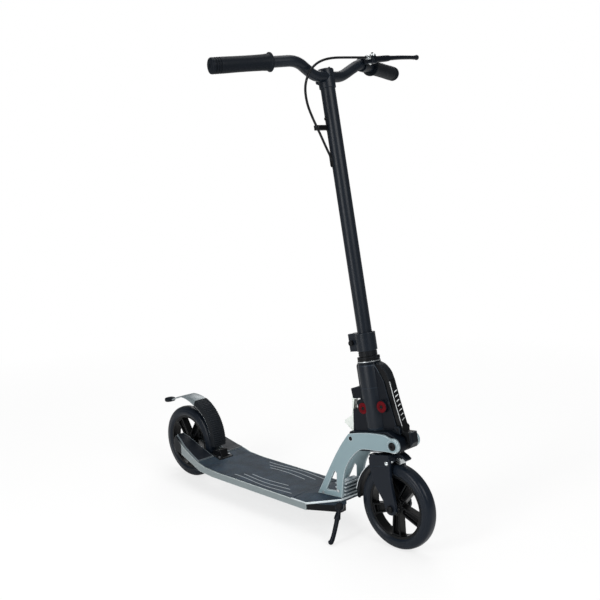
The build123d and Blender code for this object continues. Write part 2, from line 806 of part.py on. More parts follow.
# ---- head, in the column frame ---------------------------------------------------------------------
def head_casting():
    """Head tube, front web, rear lobe, pinch block and the lower block between the plates."""
    tube = up_rod(head_bottom, head_top, head_tube_radius)
    web = slab(web_outline, -front_web_half_width, front_web_half_width)
    fin = slab(fin_outline, -fin_half_width, fin_half_width)
    lobe = slab(lobe_outline, -rear_lobe_half_width, rear_lobe_half_width)
    pinch = slab(pinch_outline, -pinch_half_width, pinch_half_width)
    pinch -= slab(pinch_slot, -lever_slot_half_width, lever_slot_half_width)
    lower_half = plate_inner_y - side_gap
    body = tube + web + fin + lobe + pinch + smooth_slab(lower_outline, -lower_half, lower_half, lower_corner)
    boss_half = front_web_half_width + pedal_boss_width
    body += cross_rod(*pedal_pivot, boss_half, pedal_boss_radius)
    body += slab(pedal_boss, -boss_half, boss_half)
    body -= pedal_room()
    cap_root = -front_web_half_width + side_gap
    body += both_sides(side_rod(*red_caps[1], cap_root, -front_cap_face, red_cap_radius))
    body -= up_rod(0, far, head_bore_radius)
    body -= up_rod(head_top - headset_seat, head_top + headset_seat, headset_radius)
    body -= up_rod(head_bottom - headset_seat, head_bottom + headset_seat, headset_radius)
    body -= cross_rod(hinge_f, hinge_s, far, hinge_bolt_radius + running_gap)
    body -= cross_rod(lock_f, lock_s, far, lock_radius)
    body -= cross_rod(*latch_pivot, far, latch_pin_radius)
    return body - cross_rod(*pedal_pivot, far, pedal_pin_radius)


def pedal_outline(gap):
    """Front cover and kick step; a gap widens it for the room it moves in."""
    front = [(f, s + gap) for f, s in pedal_front] + [(f + gap, s) for f, s in pedal_face]
    toe = [(f + gap, s + gap) for f, s in pedal_toe] + [(pedal_toe_low[0][0] + gap, pedal_toe_low[0][1])]
    toe.append((pedal_toe_low[1][0] + gap, pedal_toe_low[1][1] - gap))
    heel = [(pedal_inside[0][0] - gap, pedal_inside[0][1] - gap)]
    return front + toe + heel + [(f - gap, s) for f, s in pedal_inside[1:]]


def pedal_room():
    half = pedal_half_width + side_gap
    return slab(pedal_outline(pedal_room_gap), -half, half)


def kick_pedal():
    body = slab(pedal_outline(0), -pedal_half_width, pedal_half_width)
    body -= block(nose_outline[0][0], far, -pedal_half_width, pedal_half_width, 0, far)
    return body - cross_rod(*pedal_pivot, far, pedal_pin_radius + running_gap)


def pedal_nose():
    """Bright rounded wear piece at the front of the kick step."""
    body = slab(nose_outline, -pedal_half_width, pedal_half_width)
    front = body.edges().filter_by(Axis.Z).filter_by(lambda e: e.center().X > nose_outline[-1][0] - 1)
    return fillet(front, nose_rounding)


def release_lever():
    lever = cross_rod(*latch_pivot, latch_half_width, latch_eye_radius)
    for outline in (latch_strip, latch_tab, latch_arm):
        lever += slab(outline, -latch_half_width, latch_half_width)
    return lever - cross_rod(*latch_pivot, far, latch_pin_radius + running_gap)


def head_pins():
    """Pins of the kick step and the release lever, and the lock pin inside the head."""
    return Compound(children=[
        cross_rod(*pedal_pivot, front_web_half_width + pedal_boss_width, pedal_pin_radius),
        cross_rod(*latch_pivot, pinch_half_width, latch_pin_radius),
        cross_rod(lock_f, lock_s, plate_inner_y - side_gap, lock_radius),
    ])


def red_bolt_caps():
    """Turned caps over the four bolts of the head, each with a socket."""
    caps = []
    for place, face in zip(red_caps, (rear_lobe_half_width, front_cap_face)):
        for side in (-1, 1):
            end = side * (face + red_cap_height)
            cap = side_rod(*place, side * face, end, red_cap_radius)
            cap -= side_rod(*place, side * (face + red_cap_floor), end, red_cap_socket)
            caps.append(cap - up_rod(head_bottom, head_top, head_tube_radius))
    return Compound(children=caps)


save_column("head_casting", head_casting())
save_column("kick_pedal", kick_pedal())
save_column("pedal_nose", pedal_nose())
save_column("release_lever", release_lever())
save_column("head_pins", head_pins())
save_column("red_bolt_caps", red_bolt_caps())


def headset(z_seat, z_face, flange):
    """A bearing cup: pressed part in the head and a flange against its end."""
    low, high = sorted((z_seat, z_face))
    direction = 1 if z_face > z_seat else -1
    cup = up_rod(low, high, headset_radius)
    edges = sorted((z_face, z_face + direction * flange))
    cup += up_rod(edges[0], edges[1], headset_flange_radius)
    return cup - up_rod(0, far, steerer_radius + running_gap)


save_column("headset_top", headset(head_top - headset_seat, head_top, headset_flange_top))
save_column("headset_bottom", headset(head_bottom + headset_seat, head_bottom, headset_flange_bottom))


# ---- steerer, collar and fork, in the column frame --------------------------------------------------
def fork():
    """Crown and two legs in one casting."""
    crown = block(crown_rear, crown_front, -leg_outer_y, leg_outer_y, crown_bottom, crown_top)
    crown = fillet(crown.edges().filter_by(Axis.Z), crown_corner)
    leg_top = crown_top - leg_top_drop
    axle_rear, axle_front = (axle_f - leg_end_radius, axle_s), (axle_f + leg_end_radius, axle_s)
    outline = [(crown_rear, leg_top), *leg_rear, axle_rear, axle_front, *leg_front, (crown_front, leg_top)]
    leg = slab(outline, -leg_outer_y, -leg_inner_y)
    leg += side_rod(axle_f, axle_s, -leg_outer_y, -leg_inner_y, leg_end_radius)
    body = crown + both_sides(leg)
    body -= cross_rod(axle_f, axle_s, far, axle_radius + running_gap)
    return body - up_rod(steerer_bottom, far, steerer_radius)


def crown_bolts():
    pieces = []
    for side in (-1, 1):
        face = side * leg_outer_y
        pieces.append(side_rod(*crown_bolt, face, face + side * crown_bolt_height, crown_bolt_radius))
    return Compound(children=pieces)


def steerer_tube():
    tube = up_rod(steerer_bottom, steerer_top, steerer_radius)
    return tube - up_rod(steerer_bottom + steerer_floor, far, steerer_bore_radius + running_gap)


def clamp_collar():
    body = up_rod(collar_bottom, collar_top, collar_radius)
    body += block(ear_rear, -ear_half_width, -ear_half_width, ear_half_width, collar_bottom, collar_top)
    body -= up_rod(0, far, steerer_radius)
    body -= block(-far, 0, -collar_slit / 2, collar_slit / 2, 0, far)
    return body - side_rod(clamp_bolt_f, clamp_bolt_s, -far, far, clamp_bolt_radius)


def steerer_rings():
    """Spacers, a flange and a tab between the collar and the upper bearing."""
    flange, sleeve, bead = ring_radii
    rings = up_rod(head_top + headset_flange_top + ring_gap, ring_step, flange)
    rings += up_rod(ring_step, collar_bottom, sleeve)
    for start in bead_starts:
        rings += up_rod(start, start + bead_height, bead)
    rear, front, low, high = ring_tab
    rings += block(rear, front, -ring_tab_half_width, ring_tab_half_width, low, high)
    return rings - up_rod(0, far, steerer_radius)


def quick_pivot(radius):
    half = quick_release_half_height
    return rod((clamp_bolt_f, quick_pivot_y, clamp_bolt_s - half),
               (clamp_bolt_f, quick_pivot_y, clamp_bolt_s + half), radius)


def clamp_bolt():
    """Bolt through the ears, its nut, and the cross pin that the quick release turns on."""
    nut_face = -ear_half_width - clamp_nut_height
    bolt = side_rod(clamp_bolt_f, clamp_bolt_s, nut_face, quick_pivot_y, clamp_bolt_radius)
    bolt += side_rod(clamp_bolt_f, clamp_bolt_s, nut_face, -ear_half_width, clamp_nut_radius)
    return bolt + quick_pivot(quick_pivot_radius)


def quick_release_lever():
    """Cam lever on the left, folded forward around the collar."""
    inner = collar_radius + quick_release_gap
    outer = inner + quick_release_thickness
    half = quick_release_half_height
    knuckle = quick_release_knuckle
    outline = ((clamp_bolt_f - knuckle + 1, quick_pivot_y), (clamp_bolt_f + 2, outer),
               (quick_release_tip_f - 6, outer), (quick_release_tip_f, outer - 2),
               (quick_release_tip_f, inner), (clamp_bolt_f + knuckle - 1, inner - 4))
    body = quick_pivot(knuckle) + plan_slab(outline, clamp_bolt_s - half, clamp_bolt_s + half)
    slot_low, slot_high = clamp_bolt_s - quick_release_slot, clamp_bolt_s + quick_release_slot
    body -= block(clamp_bolt_f - 8, clamp_bolt_f + 8, 0, quick_pivot_y + 8, slot_low, slot_high)
    body -= side_rod(clamp_bolt_f, clamp_bolt_s, 0, far, clamp_bolt_radius + side_gap)
    return body - quick_pivot(quick_pivot_radius + running_gap)


def front_mudguard():
    inner = wheel_radius + mudguard_gap
    guard = sector(axle_f, axle_s, inner, inner + mudguard_thickness, mudguard_start, mudguard_end,
                   -mudguard_half_width, mudguard_half_width)
    return guard + slab(mudguard_strut, -mudguard_strut_half_width, mudguard_strut_half_width)


def brake_bracket():
    arm = slab(bracket_outline, -bracket_half_width, bracket_half_width)
    return arm - rod((shoe_stem_f, 0, 0), (shoe_stem_f, 0, far), shoe_stem_radius + running_gap)


def brake_shoe():
    rear, front, low, high = shoe_box
    shoe = block(rear, front, -shoe_half_width, shoe_half_width, low, high)
    shoe = fillet(shoe.edges().filter_by(Axis.Y), shoe_rounding)
    shoe -= cross_rod(axle_f, axle_s, far, wheel_radius + shoe_gap)
    return shoe + rod((shoe_stem_f, 0, shoe_stem[0]), (shoe_stem_f, 0, shoe_stem[1]), shoe_stem_radius)


save_column("fork", fork())
save_column("steerer_tube", steerer_tube())
save_column("clamp_collar", clamp_collar())
save_column("steerer_rings", steerer_rings())
save_column("clamp_bolt", clamp_bolt())
save_column("quick_release_lever", quick_release_lever())
save_column("front_mudguard", front_mudguard())
save_column("brake_bracket", brake_bracket())
save_column("brake_shoe", brake_shoe())
save_column("front_axle", axle(axle_f, axle_s, leg_inner_y, leg_outer_y))
save_column("crown_bolts", crown_bolts())
save("rear_axle", axle(rear_axle_x, axle_z, wheel_slot_half_width - side_gap / 2, rear_axle_head_y))


# ---- T-bar, in the column frame ------------------------------------------------------------------
def bar_path(points, radii):
    return FilletPolyline(*points, radius=radii)


def across(point):
    """The same point on the other side of the scooter."""
    return point[0], -point[1], point[2]


def along_bar(distance, side=1):
    """A point on the straight grip part of the bar, measured from its upper bend outwards."""
    start = Vector(*bar_bend_high)
    direction = (Vector(*bar_end) - start).normalized()
    point = start + direction * distance
    return point.X, side * point.Y, point.Z


def bar_length():
    return (Vector(*bar_end) - Vector(*bar_bend_high)).length


def handlebar():
    right = [across(p) for p in (bar_end, bar_bend_high, bar_bend_low)]
    left = [bar_bend_low, bar_bend_high, bar_end]
    last = bar_length() - grip_end
    right[0], left[-1] = along_bar(last, -1), along_bar(last)
    path = bar_path(right + left, bar_bend_radius)
    start_plane = Plane(origin=path @ 0, z_dir=path % 0)
    outer = sweep(start_plane * Circle(bar_radius), path)
    return outer - sweep(start_plane * Circle(bar_radius - bar_wall), path)


def tbar_tube():
    tube = up_rod(tbar_bottom, tbar_top, tbar_radius)
    tube -= up_rod(0, tbar_top - tbar_cap, tbar_radius - tbar_wall)
    slit = block(-slit_width / 2 + slit_f, slit_width / 2 + slit_f, -far, 0,
                 slit_s - slit_length / 2, slit_s + slit_length / 2)
    return tube - fillet(slit.edges().filter_by(Axis.Y), slit_width / 2 - running_gap)


def stem_lower():
    body = up_rod(stem_bottom, bar_centre[2] - stem_split / 2, stem_radius)
    tab = [(f, bar_centre[2] + s) for f, s in stem_tab]
    body += slab(tab, -stem_tab_half_width, stem_tab_half_width)
    body -= up_rod(0, tbar_top, tbar_radius)
    return body - bar_clearance()


def stem_upper():
    body = up_rod(bar_centre[2] + stem_split / 2, stem_top, stem_radius)
    body = fillet(body.edges().sort_by(Axis.Z)[-1], stem_top_rounding)
    return body - bar_clearance() - stem_bolt_set()


def bar_clearance():
    return cross_rod(bar_centre[0], bar_centre[2], far, bar_radius)


def stem_bolt_set():
    """Two cap screws, ahead of the bar and behind it, seen from above."""
    low, high = stem_top - stem_screw_depth, stem_top + stem_screw_height
    return Compound(children=[rod((f, 0, low), (f, 0, high), stem_screw_radius)
                              for f in (-stem_screw_offset, stem_screw_offset)])


def grip(side):
    """Rubber grip with a flange at its inner end, closed at the outer end."""
    length = bar_length()
    start, end = along_bar(length - grip_length, side), along_bar(length, side)
    flange_end = along_bar(length - grip_length + grip_flange, side)
    body = rod(start, end, grip_radius)
    body = fillet(body.edges().filter_by(GeomType.CIRCLE).sort_by(Axis.Y)[-1 if side > 0 else 0],
                  grip_rounding)
    body += rod(start, flange_end, grip_flange_radius)
    return body - rod(start, along_bar(length - grip_end, side), bar_radius)


def cable_bends(points):
    """Arc radii, each as large as its two runs allow."""
    corners = [Vector(*p) for p in points]
    radii = []
    for before, here, after in zip(corners, corners[1:], corners[2:]):
        first, second = here - before, after - here
        turn = math.radians(first.get_angle(second))
        radii.append(0.45 * min(first.length, second.length) / math.tan(turn / 2))
    return radii


def brake_cable():
    radii = cable_bends(cable_points)
    print("cable arc radii", [round(r, 1) for r in radii])
    path = FilletPolyline(*cable_points, radius=radii)
    tube = sweep(Plane(origin=path @ 0, z_dir=path % 0) * Circle(cable_radius), path)
    print("cable volume", round(tube.volume, 1), "section x length",
          round(math.pi * cable_radius ** 2 * path.length, 1), "length", round(path.length, 1))
    return tube


def cable_hook(cable):
    """Guide on the right of the tube that holds the cable away from it."""
    half_width, reach, half_height = hook_size
    arm = block(hook_f - half_width, hook_f + half_width, hook_y - reach, -tbar_radius / 2,
                hook_s - half_height, hook_s + half_height)
    arm = fillet(arm.edges().filter_by(Axis.Z), hook_rounding)
    arm -= up_rod(0, far, tbar_radius)
    return arm - cable


def cable_grommet(cable):
    half_length = slit_length / 2
    plug = block(slit_f - slit_width / 2, slit_f + slit_width / 2, -tbar_radius - grommet_rim,
                 -tbar_radius + tbar_wall + 1, slit_s - half_length, slit_s + half_length)
    plug = fillet(plug.edges().filter_by(Axis.Y), slit_width / 2 - running_gap)
    return plug - cable


def lever_axis(low, high, radius):
    """A rod on the lever's pivot, from below its middle to above it."""
    f, y, s = lever_pivot
    return rod((f, y, s - low), (f, y, s + high), radius)


def tilted(shape):
    """Turn a piece of the lever up about the forward direction at the pivot."""
    return shape.rotate(Axis(lever_pivot, (1, 0, 0)), lever_tilt)


def brake_clamp():
    """Clamp ring on the bar, arm and the two ears of the lever pivot."""
    start, end = along_bar(lever_clamp_offset), along_bar(lever_clamp_offset + lever_clamp_length)
    ring = rod(start, end, lever_clamp_radius)
    f, y, s = lever_pivot
    half = lever_thickness / 2 + side_gap
    low, high = half + lever_ear_low, half + lever_ear_high
    arm = plan_slab(lever_arm, s - lever_arm_depth, s + lever_arm_rise)
    ears = lever_axis(low, high, lever_knuckle_radius)
    ears += block(f - lever_knuckle_radius, f + lever_knuckle_radius, lever_ear_start_y, y, s - low, s + high)
    mouth = lever_axis(half, half, lever_knuckle_radius + lever_mouth_gap)
    mouth += block(f - 2 * lever_knuckle_radius, f + 2 * lever_knuckle_radius, y, y + lever_mouth_reach,
                   s - half, s + half)
    body = ring + arm + tilted(ears)
    body -= tilted(mouth)
    body -= rod(along_bar(-lever_clamp_length), along_bar(4 * lever_clamp_length), bar_radius)
    return body - tilted(lever_axis(far, far, lever_pin_radius)) - handlebar()


def barrel_adjuster(cable):
    """Bright threaded barrel and lock ring where the cable enters the lever body."""
    f, y, s = cable_points[0]
    (rear, radius), (middle, _), (front, small_radius) = barrel
    body = rod((f, y + rear, s), (f, y + middle, s), radius)
    body += rod((f, y + middle, s), (f, y + front, s), small_radius)
    return body - cable


def lever_pin():
    half = lever_thickness / 2 + side_gap
    head = half + lever_ear_high
    pin = lever_axis(half + lever_ear_low, head, lever_pin_radius)
    return pin + lever_axis(-head, head + lever_head_height, lever_head_radius)


def brake_lever():
    """Two-finger blade with a ball end, flat in the plane of its travel."""
    f, y, s = lever_pivot
    half = lever_thickness / 2
    thin = half - lever_blade_step
    tip_f, tip_y = lever_tip
    root = plan_slab([(f + df, y + dy) for df, dy in lever_root], s - half, s + half)
    inner = [(f + df, y + dy) for df, dy in lever_blade_inner]
    outer = [(f + df, y + dy) for df, dy in lever_blade_outer]
    tip = [(tip_f - lever_tip_half_width, tip_y), (tip_f + lever_tip_half_width, tip_y)]
    blade = plan_slab(inner + tip + outer, s - thin, s + thin)
    blade += Pos(tip_f, tip_y, s) * Sphere(lever_ball_radius)
    body = lever_axis(half, half, lever_knuckle_radius) + root + blade
    return body - lever_axis(far, far, lever_pin_radius + running_gap)


cable_solid = brake_cable()
save_column("handlebar", handlebar())
save_column("tbar_tube", tbar_tube())
save_column("stem_lower", stem_lower())
save_column("stem_upper", stem_upper())
save_column("stem_bolts", stem_bolt_set())
save_column("grip_left", grip(1))
save_column("grip_right", grip(-1))
save_column("brake_cable", cable_solid)
save_column("cable_hook", cable_hook(cable_solid))
save_column("cable_grommet", cable_grommet(cable_solid))
save_column("brake_clamp", brake_clamp() - barrel_adjuster(cable_solid) - cable_solid)
save_column("barrel_adjuster", barrel_adjuster(cable_solid))
save_column("lever_pin", tilted(lever_pin()))
save_column("brake_lever", tilted(brake_lever()))


# ---- rear foot brake -----------------------------------------------------------------------------
def fender():
    """Mudguard over the rear wheel, its strap down to the pin and the neck that carries the tip."""
    cx, cz = rear_axle_x + fender_shift_x, axle_z + fender_shift_z
    inner = fender_radius - fender_thickness
    shell = sector(cx, cz, inner, fender_radius, fender_start, fender_end,
                   -fender_half_width, fender_half_width)
    cheek = sector(cx, cz, fender_radius - fender_cheek, fender_radius, fender_start + 8, fender_end - 6,
                   fender_half_width - fender_thickness, fender_half_width)
    shell += both_sides(cheek)
    body = shell + fender_tail(cx, cz, inner) + fender_strap(cx, cz, inner)
    return body - cross_rod(fender_pin_x, fender_pin_z, far, fender_pin_radius + running_gap)


def fender_tail(cx, cz, inner):
    end = math.radians(fender_end)
    x, z = cx + inner * math.cos(end), cz + inner * math.sin(end)
    knee_x, knee_z = x + fender_neck_plan[-1][0] + 4, z - fender_neck_drop
    half = fender_neck / 2
    outline = ((x + 1, z), (x + 1, z + fender_thickness), (knee_x, knee_z), (neck_end_x, neck_end_z + half),
               (neck_end_x, neck_end_z - half), (knee_x, knee_z - fender_neck))
    tail = slab(outline, -fender_half_width, fender_half_width)
    plan = [(x + dx, y) for dx, y in fender_neck_plan] + [(neck_end_x - 5, fender_neck_half_width)]
    return tail & plan_slab(plan + [(px, -py) for px, py in reversed(plan)], 0, far)


def fender_strap(cx, cz, inner):
    """From the pin up to the front end of the shell."""
    start = math.radians(fender_start)
    shell_x, shell_z = cx + inner * math.cos(start), cz + inner * math.sin(start)
    foot, top = fender_strap_foot, shell_z + fender_strap_foot + fender_thickness
    outline = ((fender_pin_x - foot, fender_pin_z), (fender_pin_x + foot, fender_pin_z),
               (shell_x + 2 * fender_thickness, top), (shell_x - fender_thickness / 2, top))
    strap = slab(outline, -fender_strap_half_width, fender_strap_half_width)
    return strap + cross_rod(fender_pin_x, fender_pin_z, fender_strap_half_width, fender_eye_radius)


def fender_tip():
    """Rubber end that the heel presses."""
    half = tip_thickness / 2
    root = neck_end_x + tip_overlap
    outline = ((root, neck_end_z + half), (tip_end_x, tip_end_z + half + 1), (tip_end_x, tip_end_z - half),
               (neck_end_x - 2, neck_end_z - half), (root, neck_end_z - half + 1))
    return slab(outline, -tip_half_width, tip_half_width) - fender()


def fender_pad():
    """Brake pad inside the top of the shell, cut to the curve of the tyre."""
    cx, cz = rear_axle_x + fender_shift_x, axle_z + fender_shift_z
    start, end = fender_pad_arc
    pad = sector(rear_axle_x, axle_z, wheel_radius + fender_pad_gap, wheel_radius + fender_radius / 2,
                 start, end, -fender_pad_half_width, fender_pad_half_width)
    return (pad & cross_rod(cx, cz, far, fender_radius - fender_thickness)) - fender()


def fender_base():
    """Block screwed to the deck with the two ears of the brake pivot."""
    ear_half, strap_half = fender_ear_half_width, fender_strap_half_width + side_gap
    foot = [(fender_pin_x + x, z) for x, z in base_foot]
    body = slab(foot, -base_foot_half_width, base_foot_half_width)
    rear = fender_pin_x - base_ear_foot
    ear = [(rear, fender_pin_z - base_ear_foot), (rear, fender_pin_z + base_ear_foot)]
    ear += [(fender_pin_x + x, z) for x, z in base_ear]
    body += both_sides(slab(ear, -ear_half, -strap_half))
    flange = [(fender_pin_x + x, z) for x, z in base_flange]
    body += slab(flange, -base_flange_half_width, base_flange_half_width)
    body -= cross_rod(fender_pin_x, fender_pin_z, strap_half, fender_eye_radius + fender_eye_gap)
    body += cross_rod(fender_pin_x, fender_pin_z, ear_half, fender_pin_radius)
    return body - deck_body() - base_screws()


def base_screws():
    low, high = base_screw_z
    x = fender_pin_x + base_screw_x
    return Compound(children=[rod((x, y, low), (x, y, high), base_screw_radius)
                              for y in (-base_screw_y, base_screw_y)])


save("rear_fender", fender())
save("fender_tip", fender_tip())
save("fender_pad", fender_pad())
save("fender_base", fender_base())
save("deck_screws", Compound(foot_screws() + list(base_screws().solids())))
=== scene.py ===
import bpy
import bmesh
import json
import math
from mathutils import Matrix, Vector

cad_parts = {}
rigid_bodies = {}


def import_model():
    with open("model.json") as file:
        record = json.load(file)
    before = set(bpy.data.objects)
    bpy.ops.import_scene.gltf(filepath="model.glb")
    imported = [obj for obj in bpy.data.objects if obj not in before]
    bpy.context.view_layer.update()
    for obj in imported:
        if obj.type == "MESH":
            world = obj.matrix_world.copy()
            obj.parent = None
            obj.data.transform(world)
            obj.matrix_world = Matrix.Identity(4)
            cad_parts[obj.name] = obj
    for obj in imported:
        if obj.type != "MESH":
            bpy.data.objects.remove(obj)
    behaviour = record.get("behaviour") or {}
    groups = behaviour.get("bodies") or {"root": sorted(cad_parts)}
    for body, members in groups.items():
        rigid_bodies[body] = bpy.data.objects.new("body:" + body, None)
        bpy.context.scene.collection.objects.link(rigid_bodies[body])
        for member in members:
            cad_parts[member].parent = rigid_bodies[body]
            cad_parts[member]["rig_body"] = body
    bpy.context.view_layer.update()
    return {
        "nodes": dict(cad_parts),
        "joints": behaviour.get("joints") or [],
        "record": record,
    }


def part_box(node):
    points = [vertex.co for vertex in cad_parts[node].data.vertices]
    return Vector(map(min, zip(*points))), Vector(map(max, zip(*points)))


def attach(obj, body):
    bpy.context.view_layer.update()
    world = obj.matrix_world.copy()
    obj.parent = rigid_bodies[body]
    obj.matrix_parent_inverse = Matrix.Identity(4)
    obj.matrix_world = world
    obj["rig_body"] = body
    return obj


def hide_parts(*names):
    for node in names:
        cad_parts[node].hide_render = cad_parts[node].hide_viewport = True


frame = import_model()
nodes = frame["nodes"]
joints = {joint["name"]: joint for joint in frame["joints"]}
mm = 0.001

# the steering column leans back: forward, sideways and along it
alongColumn = Vector(joints["steer"]["axis"]).normalized()
sideways = Vector((0, 1, 0))
forward = sideways.cross(alongColumn)
steerPoint = Vector(joints["steer"]["pos_m"])
columnFoot = steerPoint - alongColumn * (steerPoint.z / alongColumn.z)
columnFrame = Matrix.Translation(columnFoot) @ Matrix((forward, sideways, alongColumn)).transposed().to_4x4()
frontAxle = Vector(joints["front_wheel_spin"]["pos_m"])
rearAxle = Vector(joints["rear_wheel_spin"]["pos_m"])
print("frame loaded:", len(nodes), "nodes")


# ---- colour and nodes
def linear(hexColour):
    values = [int(hexColour[i:i + 2], 16) / 255 for i in (1, 3, 5)]
    return [v / 12.92 if v <= 0.04045 else ((v + 0.055) / 1.055) ** 2.4 for v in values] + [1.0]


def addNode(tree, kind, inputs=None, **settings):
    node = tree.nodes.new(kind)
    for key, value in settings.items():
        setattr(node, key, value)
    for key, value in (inputs or {}).items():
        if isinstance(value, bpy.types.NodeSocket):
            tree.links.new(value, node.inputs[key])
        else:
            node.inputs[key].default_value = value
    return node


def newMaterial(name, fixed=None):
    # fixed holds the numbers of the shader that are the same all over the surface
    material = bpy.data.materials.new(name)
    material.use_nodes = True
    tree = material.node_tree
    tree.nodes.clear()
    shader = addNode(tree, "ShaderNodeBsdfPrincipled", fixed)
    addNode(tree, "ShaderNodeOutputMaterial", {"Surface": shader.outputs["BSDF"]})
    return material, tree, shader


def noiseAt(tree, sizeMm, detail=3.0, stretch=(1, 1, 1)):
    # object coordinates are metres, so a grain of sizeMm needs a scale of 1000 / sizeMm
    place = addNode(tree, "ShaderNodeTexCoord")
    mapping = addNode(tree, "ShaderNodeMapping", {"Vector": place.outputs["Object"], "Scale": stretch})
    return addNode(tree, "ShaderNodeTexNoise",
                   {"Vector": mapping.outputs["Vector"], "Scale": 1000 / sizeMm, "Detail": detail})


def edgeHighlightShare(tree, reachMm, mostHighlight):
    # painted highlight along outer edges: 0 on flats, rising to the most given where rays cast inwards soon
    # leave the solid
    inward = addNode(tree, "ShaderNodeAmbientOcclusion", {"Distance": reachMm * mm}, inside=True,
                     only_local=True, samples=6)
    share = addNode(tree, "ShaderNodeMapRange", {"Value": inward.outputs["AO"], "From Min": 0.93,
                                                 "From Max": 0.6, "To Min": 0.0, "To Max": mostHighlight})
    return share.outputs["Result"]


def mottled(tree, shader, light, dark, patchMm, roughLow, roughHigh, edge=None):
    # slow drift of colour and sheen, as on any real coated surface; edge is the colour, reach and strength of
    # a painted highlight along the outer edges
    patch = noiseAt(tree, patchMm)
    colour = addNode(tree, "ShaderNodeMix", {"Factor": patch.outputs["Fac"], 6: linear(dark),
                                             7: linear(light)}, data_type="RGBA")
    if edge:
        # the edge colour is painted highlight, mixed in where the edges are
        highlightColour, reachMm, mostHighlight = edge
        share = edgeHighlightShare(tree, reachMm, mostHighlight)
        colour = addNode(tree, "ShaderNodeMix", {"Factor": share, 6: colour.outputs[2],
                                                 7: linear(highlightColour)}, data_type="RGBA")
    tree.links.new(colour.outputs[2], shader.inputs["Base Color"])
    sheen = addNode(tree, "ShaderNodeMapRange", {"Value": patch.outputs["Fac"], "From Min": 0.3,
                                                 "From Max": 0.7, "To Min": roughLow, "To Max": roughHigh})
    tree.links.new(sheen.outputs["Result"], shader.inputs["Roughness"])


def relief(tree, shader, height, depthMm, edgeMm):
    # the bevel node rolls the light over the edges of sharp solids
    edge = addNode(tree, "ShaderNodeBevel", {"Radius": edgeMm * mm}, samples=4)
    bump = addNode(tree, "ShaderNodeBump", {"Height": height, "Distance": depthMm * mm, "Strength": 1.0,
                                            "Normal": edge.outputs["Normal"]})
    tree.links.new(bump.outputs["Normal"], shader.inputs["Normal"])


# ---- materials
def satinPowderCoat(name, light, dark, rough, edge, shine):
    # baked powder on steel and cast aluminium: fine orange peel, one soft streak of light, paler edges that
    # are painted highlight
    material, tree, shader = newMaterial(name, {"Specular IOR Level": shine})
    mottled(tree, shader, light, dark, 60, rough, rough + 0.08, (edge, 1.4, 0.4))
    relief(tree, shader, noiseAt(tree, 0.9).outputs["Fac"], 0.02, 0.7)
    return material


def silverAnodised():
    # extruded aluminium, anodised: faint die lines along the deck, grey satin sheen, pale edges painted on as
    # highlight
    material, tree, shader = newMaterial("anodised extruded aluminium", {"Metallic": 0.5})
    mottled(tree, shader, "#858f91", "#788285", 90, 0.34, 0.42, ("#d5dcdd", 1.4, 0.7))
    dieLines = noiseAt(tree, 0.8, 2.0, (0.01, 1, 1))
    relief(tree, shader, dieLines.outputs["Fac"], 0.03, 0.8)
    return material


def plateLacquer(name, light, dark):
    # pressed plates in silver-grey lacquer: metal flake under a satin clear coat, bright rims painted on as
    # highlight
    material, tree, shader = newMaterial(name, {"Metallic": 0.2, "Coat Weight": 0.2, "Coat Roughness": 0.25})
    mottled(tree, shader, light, dark, 70, 0.38, 0.44, ("#e6edf0", 1.6, 0.8))
    flake = noiseAt(tree, 0.5, 1.0)
    relief(tree, shader, flake.outputs["Fac"], 0.015, 1.0)
    return material


def gritSheet():
    # grip sheet: crushed grit in resin; grains of 0.6 mm drawn at 1.2 mm so that they show
    grainMm = 1.2
    material, tree, shader = newMaterial("resin-bonded grit sheet",
                                         {"Roughness": 0.62, "Specular IOR Level": 0.25})
    place = addNode(tree, "ShaderNodeTexCoord")
    grains = addNode(tree, "ShaderNodeTexVoronoi",
                     {"Vector": place.outputs["Object"], "Scale": 1000 / grainMm})
    patch = noiseAt(tree, 35, 6.0)
    ramp = addNode(tree, "ShaderNodeValToRGB", {"Fac": patch.outputs["Fac"]})
    for element, position, colour in zip(ramp.color_ramp.elements, (0.35, 0.65), ("#1e2b36", "#2b3b49")):
        element.position = position
        element.color = linear(colour)
    speck = addNode(tree, "ShaderNodeMix", {"Factor": 0.35, 6: ramp.outputs["Color"],
                                            7: grains.outputs["Color"]},
                    data_type="RGBA", blend_type="MULTIPLY")
    tree.links.new(speck.outputs[2], shader.inputs["Base Color"])
    relief(tree, shader, grains.outputs["Distance"], 0.25, 0.5)
    return material


def mouldedNylon(name, light, dark, rough, edge="#3b4148", share=0.35, reachMm=1.2):
    # moulded nylon: spark-eroded grain from the mould, even and nearly black, edges a shade paler as painted
    # highlight
    material, tree, shader = newMaterial(name, {"Specular IOR Level": 0.15})
    mottled(tree, shader, light, dark, 45, rough, rough + 0.1, (edge, reachMm, share))
    relief(tree, shader, noiseAt(tree, 0.7, 4.0).outputs["Fac"], 0.04, 0.6)
    return material


def castPolyurethane():
    # cast polyurethane tyre: silky, a little dust rubbed into it, edges a paler blue-grey as painted
    # highlight
    material, tree, shader = newMaterial(
        "cast polyurethane", {"Sheen Weight": 0.06, "Sheen Roughness": 0.4, "Specular IOR Level": 0.17})
    mottled(tree, shader, "#121a24", "#0d141c", 30, 0.28, 0.38, ("#27313d", 1.5, 0.4))
    relief(tree, shader, noiseAt(tree, 2.2, 5.0).outputs["Fac"], 0.05, 0.5)
    return material


def gripRubber():
    # moulded grip rubber: fine rings pressed across the pads of each grip
    material, tree, shader = newMaterial("moulded grip rubber", {"Specular IOR Level": 0.1})
    mottled(tree, shader, "#0f151c", "#0b1016", 25, 0.46, 0.56)
    ringMm = 2.6
    place = addNode(tree, "ShaderNodeTexCoord")
    rings = addNode(tree, "ShaderNodeTexWave", {"Vector": place.outputs["Object"], "Distortion": 0.0,
                                                "Scale": 1000 / ringMm / 6.28 * 2}, bands_direction="Z")
    relief(tree, shader, rings.outputs["Fac"], 0.12, 0.5)
    return material


